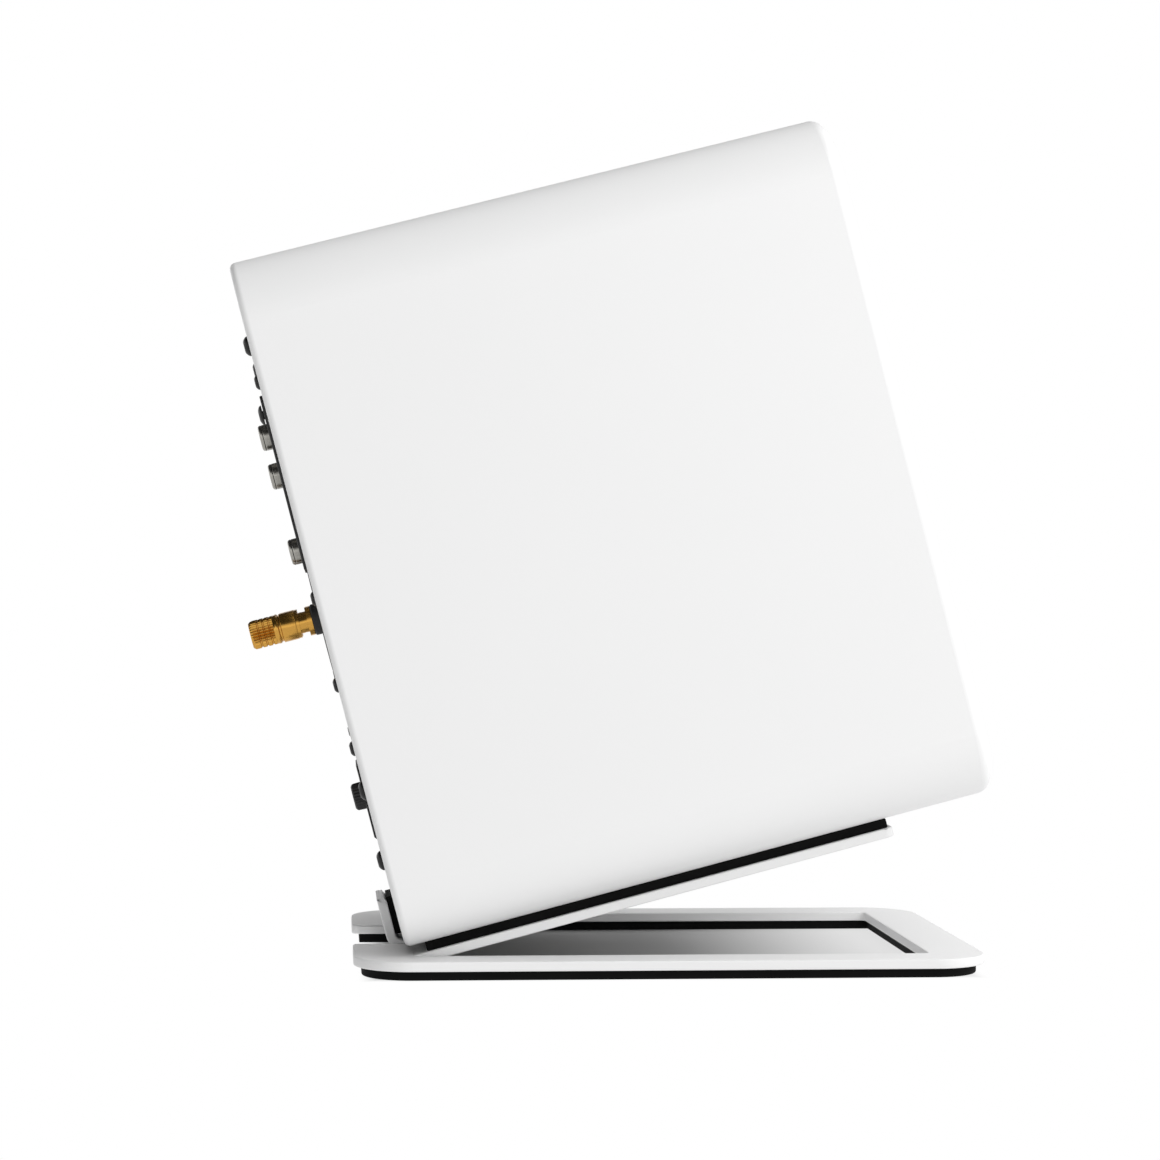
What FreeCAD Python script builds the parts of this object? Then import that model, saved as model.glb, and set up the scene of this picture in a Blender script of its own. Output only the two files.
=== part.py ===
import FreeCAD, Part

import os
import re
import Sketcher

# A small powered loudspeaker standing on an angled desk stand that is bent from one sheet of
# steel. The whole stands with +X to the loudspeaker's front, +Z up, and its origin on the desk
# under the middle of its overall length. Stand frame: the same axes, about the middle of the base.
# Loudspeaker frame: along = from its back to its front, across = +Y, above = from its underside
# up; that frame leans back by tray_angle.

sizes = {
    # stand
    "base_length": 198.0,
    "base_width": 138.0,
    "base_corner_radius": 18.0,
    "sheet_thickness": 3.0,
    "foot_thickness": 3.0,
    "foot_inset": 2.5,
    "foot_window_inset": 1.2,
    "side_rail": 14.8,
    "front_bar": 17.8,
    "tail_length": 19.0,
    "tail_gap": 48.0,
    "tail_tip_radius": 2.5,
    "window_corner_radius": 1.5,
    "saw_cut": 1.2,
    "tray_angle": 14.8,
    "tray_length": 155.0,
    "tray_corner_radius": 3.0,
    "tray_pad_thickness": 3.0,
    "tray_pad_inset": 1.5,
    "tray_pad_setback": 4.0,
    "seat_gap": 0.05,
    "bend_setback": 2.2,
    "lip_width": 24.0,
    "lip_height": 15.4,
    "lip_pad_thickness": 2.4,
    "lip_pad_drop": 0.5,
    "lip_gap": 0.1,
    "bend_radius": 2.5,
    # cabinet
    "cabinet_depth": 190.0,
    "cabinet_width": 140.0,
    "cabinet_height": 218.0,
    "cabinet_radius": 20.0,
    "cabinet_wall": 12.0,
    "baffle_thickness": 15.0,
    "front_edge_radius": 4.0,
    "back_edge_radius": 2.0,
    "joint_gap": 0.1,
    "hairline": 0.02,
    "press_gap": 0.05,
    "turn_gap": 0.06,
    "pass_gap": 0.1,
    "button_gap": 0.15,
    "edge_gap": 0.2,
    "flap_gap": 0.25,
    "small_chamfer": 0.3,
    "small_step": 0.4,
    "small_round": 0.5,
    "cap_chamfer": 0.6,
    "flange_under": 0.7,
    "flange_over": 0.8,
    "frame_wall": 1.2,
    "frame_reach": 2.4,
    "slider_half": 1.6,
    # woofer
    "woofer_height": 84.0,
    "woofer_radius": 56.0,
    "woofer_rim_width": 9.0,
    "woofer_rim_thickness": 4.0,
    "gasket_thickness": 1.0,
    "surround_setback": 1.5,
    "surround_width": 8.5,
    "surround_rise": 2.6,
    "surround_roll": 2.4,
    "surround_flange": 1.2,
    "skin_thickness": 1.0,
    "cone_depth": 14.0,
    "coil_radius": 13.0,
    "coil_wall": 0.8,
    "coil_length": 25.0,
    "basket_depth": 36.0,
    "basket_taper": 16.0,
    "basket_back_wall": 2.0,
    "basket_ring": 7.0,
    "basket_window": 22.0,
    "spider_reach": 0.3,
    "spider_skin": 0.6,
    "spider_wave": 1.5,
    "spider_back": 9.0,
    "cap_overlap": 1.6,
    "cap_rise": 5.8,
    "magnet_clear": 9.0,
    "magnet_lip": 3.0,
    "magnet_thickness": 16.0,
    "steel_plate_thickness": 5.0,
    "working_gap": 0.5,
    # tweeter
    "tweeter_height": 174.0,
    "tweeter_radius": 29.0,
    "tweeter_rim_width": 7.5,
    "tweeter_plate_thickness": 3.0,
    "tweeter_horn_width": 5.0,
    "tweeter_horn_depth": 1.6,
    "dome_radius": 12.5,
    "dome_rise": 4.0,
    "dome_edge": 1.2,
    "dome_skin": 0.6,
    "tweeter_magnet_clear": 1.5,
    "tweeter_magnet_depth": 20.0,
    # fasteners
    "driver_screw_head": 3.2,
    "driver_screw_shank": 1.75,
    "driver_screw_length": 12.0,
    "screw_head_height": 2.0,
    "panel_screw_head": 3.15,
    "panel_screw_shank": 1.5,
    "panel_screw_length": 10.0,
    "trim_screw_head": 2.4,
    "trim_screw_head_height": 1.5,
    # front controls
    "dial_across": 48.0,
    "dial_height": 22.0,
    "dial_radius": 9.0,
    "dial_length": 11.0,
    "dial_gap": 1.6,
    "dial_shaft_radius": 3.0,
    "dial_press": 0.8,
    "encoder_size": 14.0,
    "encoder_depth": 8.0,
    "light_radius": 1.6,
    "light_height": 16.0,
    # back panel
    "panel_width": 112.0,
    "panel_height": 182.2,
    "panel_bottom": 18.8,
    "panel_corner_radius": 6.0,
    "panel_thickness": 2.0,
    "panel_ledge": 8.0,
    "panel_screw_inset": 5.0,
    "panel_screw_bottom": 9.0,
    "panel_screw_pitch": 22.4,
    "bezel_left": 46.0,
    "bezel_right": 14.0,
    "bezel_bottom": 121.0,
    "bezel_top": 176.8,
    "bezel_thickness": 1.1,
    "bezel_corner_radius": 2.0,
    "jack_across": 30.0,
    "jack_top": 164.6,
    "jack_second": 152.0,
    "jack_third": 127.4,
    "jack_radius": 4.15,
    "jack_reach": 4.3,
    "jack_depth": 12.0,
    "jack_tail_radius": 3.75,
    "jack_insert_radius": 3.3,
    "jack_hole_radius": 1.6,
    "jack_well_radius": 6.5,
    "jack_well_depth": 5.0,
    "jack_well_wall": 0.9,
    "earth_across": 40.0,
    "earth_height": 171.0,
    "earth_hole_radius": 1.55,
    "earth_head_radius": 3.2,
    "earth_head_back": 1.4,
    "earth_reach": 2.9,
    "earth_length": 7.9,
    "aux_across": 2.0,
    "aux_height": 164.6,
    "aux_bore_radius": 1.8,
    "aux_sleeve_radius": 3.0,
    "aux_nut_radius": 4.0,
    "aux_reach": 1.2,
    "aux_depth": 14.0,
    "optical_across": 14.0,
    "optical_height": 164.6,
    "optical_size": 9.6,
    "optical_opening": 5.2,
    "usb_across": 34.0,
    "usb_height": 164.6,
    "usb_width": 13.1,
    "usb_opening": 5.7,
    "usb_depth": 14.0,
    "select_height": 139.7,
    "select_slot": 7.0,
    "select_travel": 2.0,
    "pair_across": 34.0,
    "pair_height": 144.0,
    "pair_radius": 3.0,
    "pair_travel": 0.6,
    "post_near_across": 30.0,
    "post_far_across": 11.0,
    "post_height": 105.0,
    "post_bore_radius": 2.05,
    "post_base": 2.8,
    "post_base_radius": 4.9,
    "post_base_chamfer": 0.5,
    "post_nut_thickness": 3.0,
    "post_bolt_length": 14.0,
    "post_cross_hole": 0.8,
    "post_cross_back": 1.1,
    "post_ring": 1.5,
    "post_bolt_radius": 2.6,
    "post_stem_radius": 3.3,
    "post_washer": 1.0,
    "post_cap_start": 8.0,
    "post_knurl_start": 14.3,
    "post_skirt_radius": 4.6,
    "post_cap_radius": 4.5,
    "post_cap_wall": 1.4,
    "post_reach": 22.7,
    "post_travel": 1.5,
    "port_across": 27.0,
    "port_height": 104.0,
    "port_radius": 14.0,
    "port_wall": 2.0,
    "port_flare": 4.0,
    "port_length": 90.0,
    "port_rim_thickness": 1.0,
    "inlet_across": 8.0,
    "inlet_height": 43.2,
    "inlet_width": 30.7,
    "inlet_rise": 24.4,
    "inlet_body_width": 26.8,
    "inlet_body_rise": 19.8,
    "inlet_flange": 1.2,
    "inlet_depth": 22.0,
    "inlet_well_depth": 15.0,
    "inlet_wall": 1.6,
    "rocker_across": 38.0,
    "rocker_height": 43.2,
    "rocker_width": 9.0,
    "rocker_rise": 13.0,
    "rocker_rim": 1.4,
    "rocker_proud": 0.6,
    "rocker_tilt": 9.0,
    "rocker_dish": 2.0,
    "level_across": 30.0,
    "level_height": 47.3,
    "level_radius": 4.4,
    "level_reach": 4.3,
    "level_shaft_radius": 3.0,
    # inside
    "board_width": 84.0,
    "board_bottom": 60.0,
    "board_top": 180.0,
    "board_thickness": 1.6,
    "board_standoff": 20.0,
    "standoff_radius": 3.0,
    "fin_count": 7.0,
    "fin_thickness": 1.6,
    "fin_pitch": 7.0,
    "fin_height": 22.0,
    "transformer_radius": 27.0,
    "transformer_bore": 8.0,
    "transformer_rise": 26.0,
    "transformer_along": 88.0,
    "felt_thickness": 5.0,
}

# Places and lengths that follow from the sizes.
places = {
    "plate_top": "foot_thickness + sheet_thickness",
    "bend_line": "tail_length - base_length / 2",
    "window_half": "base_width / 2 - side_rail",
    "tray_half": "window_half - saw_cut",
    "lip_half": "lip_width / 2",
    "tray_top": "-seat_gap - tray_pad_thickness",
    "tray_bottom": "tray_top - sheet_thickness",
    "tray_end": "bend_setback + tray_length",
    "lip_front": "-lip_gap - lip_pad_thickness",
    "lip_back": "lip_front - sheet_thickness",
    "lip_top": "tray_top + lip_height",
    "corner_x": "bend_line - bend_setback * cos(tray_angle) + tray_top * sin(tray_angle)",
    "corner_z": "plate_top - bend_setback * sin(tray_angle) - tray_top * cos(tray_angle)",
    "woofer_hole_radius": "woofer_radius - woofer_rim_width",
    "woofer_screw_circle": "woofer_radius - woofer_rim_width / 2",
    "surround_outer_radius": "woofer_hole_radius - surround_setback",
    "surround_inner_radius": "surround_outer_radius - surround_width",
    "basket_back_radius": "woofer_hole_radius - basket_taper",
    "spider_width": "basket_back_radius - basket_back_wall - coil_clear + spider_reach",
    "magnet_radius": "woofer_hole_radius - magnet_clear",
    "tweeter_hole_radius": "tweeter_radius - tweeter_rim_width",
    "tweeter_screw_circle": "tweeter_radius - tweeter_rim_width / 2 - joint_gap",
    "tweeter_magnet_radius": "tweeter_hole_radius - tweeter_magnet_clear",
    "rim_depth": "woofer_rim_thickness + gasket_thickness",
    "tweeter_rim_depth": "tweeter_plate_thickness + gasket_thickness",
    "cone_edge": "-woofer_rim_thickness / 2 - skin_thickness",
    "cone_neck": "cone_edge - cone_depth",
    "coil_end": "cone_neck - coil_length",
    "magnet_front": "-basket_depth - steel_plate_thickness",
    "magnet_back": "magnet_front - magnet_thickness",
    "coil_clear": "coil_radius + coil_wall + working_gap",
    "opening_half": "panel_width / 2 - panel_ledge",
    "opening_bottom": "panel_bottom + panel_ledge",
    "opening_top": "panel_bottom + panel_height - panel_ledge",
    "screw_column": "panel_width / 2 - panel_screw_inset",
    "screw_low": "panel_bottom + panel_screw_bottom",
    "screw_second": "screw_low + panel_screw_pitch",
    "screw_high": "panel_bottom + panel_height - panel_screw_bottom",
    "jack_cup_radius": "jack_well_radius + jack_well_wall",
    "trim_top": "bezel_top + 3.7",
    "trim_high": "post_height + 6.5",
    "trim_middle": "post_height - 21.1",
    "trim_low": "post_height - 41.4",
    "back_reach": "corner_x - (cabinet_height - back_edge_radius) * sin(tray_angle) "
                  "- back_edge_radius * (1 - cos(tray_angle))",
    "front_reach": "corner_x + (cabinet_depth + dial_gap + dial_length) * cos(tray_angle) "
                   "- (dial_height - dial_radius + 1) * sin(tray_angle)",
    "middle": "(back_reach + front_reach) / 2",
    "front": "cabinet_depth",
    "board_back": "panel_thickness + board_standoff",
}

FRAMES = {
    "stand": "placement(vector(-middle; 0; 0); rotation(vector(0; 0; 1); 0))",
    "speaker": "placement(vector(corner_x - middle; 0; corner_z); "
               "rotation(vector(0; -1; 0); tray_angle))",
    "own": "placement(vector(0; 0; 0); rotation(vector(0; 0; 1); 0))",
}
QUARTER_TURNS = {
    "along": "rotation(vector(0; 1; 0); 90)",
    "across": "rotation(vector(1; 0; 0); -90)",
    "above": "rotation(vector(0; 0; 1); 0)",
}

doc = FreeCAD.newDocument("LoudspeakerOnStand")
sheet = doc.addObject("Spreadsheet::Sheet", "Sizes")
for row, (alias, value) in enumerate(sizes.items(), 1):
    sheet.set(f"A{row}", alias)
    sheet.set(f"B{row}", str(value))
    sheet.setAlias(f"B{row}", alias)
doc.recompute()

pieces = []


def formula(text):
    """Write a length in cells of the sheet, with every named place spelled out."""
    def spell(match):
        word = match.group(0)
        if word in sizes:
            return f"Sizes.{word}"
        if word in places:
            return f"({formula(places[word])})"
        return word
    return re.sub(r"[a-z][a-z_0-9]*", spell, str(text))


def bind(item, **lengths):
    """Tie properties of an object to the sheet."""
    for name, text in lengths.items():
        item.setExpression(name, formula(text))
    return item


def negative(text):
    return f"-({text})"


def shift(item, along="0", across="0", above="0", turn="above", frame="own"):
    """Put an object at a point of a frame, its own Z turned to one of the frame's axes."""
    local = f"placement(vector({along}; {across}; {above}); {QUARTER_TURNS[turn]})"
    item.setExpression("Placement", formula(f"{FRAMES[frame]} * {local}"))
    return item


def block(low, high):
    """A box from its low corner to its high corner."""
    item = doc.addObject("Part::Box", "Block")
    bind(item, Length=f"({high[0]}) - ({low[0]})", Width=f"({high[1]}) - ({low[1]})",
         Height=f"({high[2]}) - ({low[2]})")
    return shift(item, *low)


def rod(axis, radius, start, end, side, up):
    """A cylinder along one axis. side and up are its two other coordinates, in XYZ order."""
    item = doc.addObject("Part::Cylinder", "Rod")
    bind(item, Radius=radius, Height=f"({end}) - ({start})")
    point = {"along": (start, side, up), "across": (side, start, up), "above": (side, up, start)}
    return shift(item, *point[axis], turn=axis)


def prism(sides, radius, start, end, side, up):
    """A regular prism along the depth, for nuts."""
    item = doc.addObject("Part::Prism", "Nut")
    item.Polygon = sides
    bind(item, Circumradius=radius, Height=f"({end}) - ({start})")
    return shift(item, start, side, up, turn="along")


def group(*items):
    """Separate solids kept as one piece."""
    item = doc.addObject("Part::Compound", "Group")
    item.Links = list(items)
    return item


def fused(*items):
    item = doc.addObject("Part::MultiFuse", "Fused")
    item.Shapes = list(items)
    item.Refine = True
    return item


def cut(base, *tools):
    item = doc.addObject("Part::Cut", "Cut")
    item.Base = base
    item.Tool = tools[0] if len(tools) == 1 else group(*tools)
    item.Refine = True
    return item


def finish(label, item, frame="speaker"):
    """Name a finished piece and stand it in its frame. A plain block keeps its own place inside."""
    if item.TypeId in ("Part::Box", "Part::Cylinder"):
        item = group(item)
    item.Label = label
    shift(item, frame=frame)
    pieces.append(item)
    return item


def plane_of(body, role):
    return [item for item in body.Origin.OriginFeatures if item.Role == role][0]


def sketch(body, role, *outlines):
    """Closed outlines of straight lines, each corner held to the sheet by its two distances."""
    item = body.newObject("Sketcher::SketchObject", "Outline")
    item.AttachmentSupport = (plane_of(body, role), [""])
    item.MapMode = "FlatFace"
    for corners in outlines:
        first = item.GeometryCount
        count = len(corners)
        spots = [FreeCAD.Vector(1.0 * n, 0.5 * n * n, 0) for n in range(count)]
        for n in range(count):
            item.addGeometry(Part.LineSegment(spots[n], spots[(n + 1) % count]))
        for n in range(count):
            following = first + (n + 1) % count
            item.addConstraint(Sketcher.Constraint("Coincident", first + n, 2, following, 1))
        for n, corner in enumerate(corners):
            for kind, text, axis in (("DistanceX", corner[0], -2), ("DistanceY", corner[1], -1)):
                if text == "0":
                    item.addConstraint(Sketcher.Constraint("PointOnObject", first + n, 1, axis))
                    continue
                held = item.addConstraint(Sketcher.Constraint(kind, first + n, 1, 1.0))
                item.setExpression(f"Constraints[{held}]", formula(text))
    return item


def rectangle(left, right, bottom, top):
    return [(left, bottom), (right, bottom), (right, top), (left, top)]


def slab(role, thickness, *outlines, both_ways=False):
    """A PartDesign body: outlines on one of its planes, padded."""
    body = doc.addObject("PartDesign::Body", "Body")
    profile = sketch(body, role, *outlines)
    pad = body.newObject("PartDesign::Pad", "Pad")
    pad.Profile = profile
    if both_ways:
        pad.SideType = "Symmetric"
    bind(pad, Length=thickness)
    doc.recompute()
    return body


def spun(profile, across, height, along="0"):
    """A PartDesign body: a profile of (along, radius) corners turned about a line along the depth."""
    body = doc.addObject("PartDesign::Body", "Body")
    outline = sketch(body, "XZ_Plane", profile)
    turned = body.newObject("PartDesign::Revolution", "Revolution")
    turned.Profile = outline
    turned.ReferenceAxis = (outline, ["H_Axis"])
    turned.Angle = 360
    shift(body, along, across, height)
    return body


def rounded(body, radius, chosen):
    """Round the edges of a body for which chosen(edge, bounds) is true."""
    doc.recompute()
    base = body.Tip
    bounds = base.Shape.BoundBox
    names = [f"Edge{n}" for n, edge in enumerate(base.Shape.Edges, 1) if chosen(edge, bounds)]
    fillet = body.newObject("PartDesign::Fillet", "Fillet")
    fillet.Base = (base, names)
    bind(fillet, Radius=radius)
    body.Tip = fillet
    doc.recompute()
    return body


def near(first, second):
    return abs(first - second) < 1e-4


def is_upright(edge, axis):
    """True for a straight edge along one axis: 0 along, 1 across, 2 above."""
    box = edge.BoundBox
    spans = [box.XLength, box.YLength, box.ZLength]
    return all(near(span, 0) for n, span in enumerate(spans) if n != axis)


def screw(across, height, outside, inward, head, head_height, shank, length):
    """A pan head whose seat is at outside, and a shank that goes inward (+1 or -1)."""
    if inward > 0:
        head_ends = (f"({outside}) - ({head_height})", outside)
        shank_ends = (outside, f"({outside}) + ({length})")
    else:
        head_ends = (outside, f"({outside}) + ({head_height})")
        shank_ends = (f"({outside}) - ({length})", outside)
    return fused(rod("along", head, *head_ends, across, height),
                 rod("along", shank, *shank_ends, across, height))


def on_circle(radius, centre_height, count, offset):
    """Places of count points on a circle about a driver's axis, as (across, height)."""
    spots = []
    for n in range(count):
        angle = offset + 360 * n / count
        spots.append((f"({radius}) * cos({angle})", f"{centre_height} + ({radius}) * sin({angle})"))
    return spots


WOOFER_SCREWS = on_circle("woofer_screw_circle", "woofer_height", 4, 45)
TWEETER_SCREWS = on_circle("tweeter_screw_circle", "tweeter_height", 4, 45)
PANEL_SCREWS = [(side + "screw_column", height) for side in ("-", "")
                for height in ("screw_low", "screw_second", "screw_high")]
TRIM_SCREWS = [(side + "screw_column", height) for side in ("-", "")
               for height in ("trim_low", "trim_middle", "trim_high", "trim_top")]
JACKS = ["jack_top", "jack_second", "jack_third"]


def make_stand():
    half_length = "base_length / 2"
    half_width = "base_width / 2"
    tail = "-base_length / 2"
    base_outline = [
        (tail, "-base_width / 2"), (half_length, "-base_width / 2"), (half_length, half_width),
        (tail, half_width), (tail, "tail_gap / 2"), ("bend_line", "tail_gap / 2"),
        ("bend_line", "-tail_gap / 2"), (tail, "-tail_gap / 2")]
    base = slab("XY_Plane", "sheet_thickness", base_outline)
    rounded(base, "base_corner_radius",
            lambda edge, box: is_upright(edge, 2) and near(abs(edge.CenterOfMass.y), box.YMax))
    rounded(base, "tail_tip_radius",
            lambda edge, box: is_upright(edge, 2) and near(edge.CenterOfMass.x, box.XMin)
            and abs(edge.CenterOfMass.y) < box.YMax / 2)
    shift(base, above="foot_thickness")
    window = slab("XY_Plane", "3 * sheet_thickness",
                  rectangle("bend_line", f"{half_length} - front_bar", "-window_half",
                            "window_half"))
    rounded(window, "window_corner_radius",
            lambda edge, box: is_upright(edge, 2) and near(edge.CenterOfMass.x, box.XMax))
    shift(window, above="foot_thickness - sheet_thickness")
    tray = slab("XY_Plane", "sheet_thickness",
                rectangle("bend_setback - 0.25 * sheet_thickness", "tray_end", "-tray_half",
                          "tray_half"))
    rounded(tray, "tray_corner_radius",
            lambda edge, box: is_upright(edge, 2) and near(edge.CenterOfMass.x, box.XMax))
    shift(tray, above="tray_bottom")
    lip = slab("XZ_Plane", "2 * lip_half", [
        ("bend_setback", "tray_bottom"), ("lip_back", "tray_bottom"), ("lip_back", "lip_top"),
        ("lip_front", "lip_top"), ("lip_front", "tray_top"), ("bend_setback", "tray_top")],
        both_ways=True)
    rounded(lip, "bend_radius + sheet_thickness",
            lambda edge, box: is_upright(edge, 1) and near(edge.CenterOfMass.x, box.XMin)
            and near(edge.CenterOfMass.z, box.ZMin))
    rounded(lip, "bend_radius",
            lambda edge, box: is_upright(edge, 1) and box.XMin + 1e-3 < edge.CenterOfMass.x < box.XMax
            and box.ZMin + 1e-3 < edge.CenterOfMass.z < box.ZMax)
    leaning = fused(tray, lip)
    leaning.setExpression("Placement", formula(
        "placement(vector(corner_x; 0; corner_z); rotation(vector(0; -1; 0); tray_angle))"))
    finish("stand_plate", fused(cut(base, window), leaning), frame="stand")


def make_stand_pads():
    outer = "foot_inset"
    inner = "foot_window_inset"
    left = f"{outer} - base_length / 2"
    right = f"base_length / 2 - {outer}"
    side = f"(base_width / 2 - {outer})"
    gap = f"(tail_gap / 2 + {inner})"
    back = f"(bend_line - 2 * {inner})"
    window_side = f"(window_half + {inner})"
    foot = slab("XY_Plane", "foot_thickness", [
        (left, negative(side)), (right, negative(side)), (right, side), (left, side),
        (left, gap), (back, gap), (back, window_side),
        (f"base_length / 2 - front_bar + {inner}", window_side),
        (f"base_length / 2 - front_bar + {inner}", negative(window_side)),
        (back, negative(window_side)), (back, negative(gap)), (left, negative(gap))])
    rounded(foot, "base_corner_radius - foot_inset",
            lambda edge, box: is_upright(edge, 2) and near(abs(edge.CenterOfMass.y), box.YMax))
    finish("foot_pad", foot, frame="stand")
    tray_side = "tray_half - tray_pad_inset"
    finish("tray_pad", block(
        ("bend_setback + tray_pad_setback", negative(tray_side), "tray_top"),
        ("tray_end - tray_pad_inset", tray_side, "-seat_gap")), frame="speaker")
    lip_side = "lip_half - tray_pad_inset"
    finish("lip_pad", block(
        ("lip_front", negative(lip_side), "tray_top + bend_radius"),
        ("-lip_gap", lip_side, "lip_top - lip_pad_drop")), frame="speaker")


def make_cabinet():
    half = "cabinet_width / 2"
    shell = slab("YZ_Plane", "cabinet_depth", rectangle(negative(half), half, "0", "cabinet_height"))
    rounded(shell, "cabinet_radius", lambda edge, box: is_upright(edge, 0))
    rounded(shell, "front_edge_radius",
            lambda edge, box: near(edge.BoundBox.XMin, box.XMax))
    rounded(shell, "back_edge_radius",
            lambda edge, box: near(edge.BoundBox.XMax, box.XMin))
    inner_half = f"({half} - cabinet_wall)"
    cavity = slab("YZ_Plane", "cabinet_depth - cabinet_wall - baffle_thickness",
                  rectangle(negative(inner_half), inner_half, "cabinet_wall",
                            "cabinet_height - cabinet_wall"))
    rounded(cavity, "cabinet_radius - cabinet_wall", lambda edge, box: is_upright(edge, 0))
    shift(cavity, along="cabinet_wall")
    opening = block(("-1", "-opening_half", "opening_bottom"),
                    ("cabinet_wall + 1", "opening_half", "opening_top"))
    seat_half = "(panel_width / 2 + joint_gap)"
    seat = slab("YZ_Plane", "panel_thickness + gasket_thickness + 1",
                rectangle(negative(seat_half), seat_half, "panel_bottom - joint_gap",
                          "panel_bottom + panel_height + joint_gap"))
    rounded(seat, "panel_corner_radius", lambda edge, box: is_upright(edge, 0))
    shift(seat, along="-1")
    tools = [cavity, opening, seat]
    past = "cabinet_depth + 5"
    inside = "cabinet_depth - baffle_thickness - 1"
    for rim, hole, depth, height in (
            ("woofer_radius", "woofer_hole_radius", "rim_depth", "woofer_height"),
            ("tweeter_radius", "tweeter_hole_radius", "tweeter_rim_depth", "tweeter_height")):
        tools.append(rod("along", f"{rim} + joint_gap", f"front - ({depth})", past, "0", height))
        tools.append(rod("along", hole, inside, past, "0", height))
    shaft_clearance = "dial_shaft_radius + 1"
    tools.append(rod("along", shaft_clearance, inside, past, "dial_across", "dial_height"))
    tools.append(rod("along", "light_radius", inside, past, "0", "light_height"))
    for across, height in WOOFER_SCREWS + TWEETER_SCREWS:
        tools.append(rod("along", "driver_screw_shank", inside, past, across, height))
    for across, height in PANEL_SCREWS + TRIM_SCREWS:
        tools.append(rod("along", "panel_screw_shank", "0", "panel_screw_length + 1", across, height))
    finish("cabinet", cut(shell, *tools))


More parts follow.
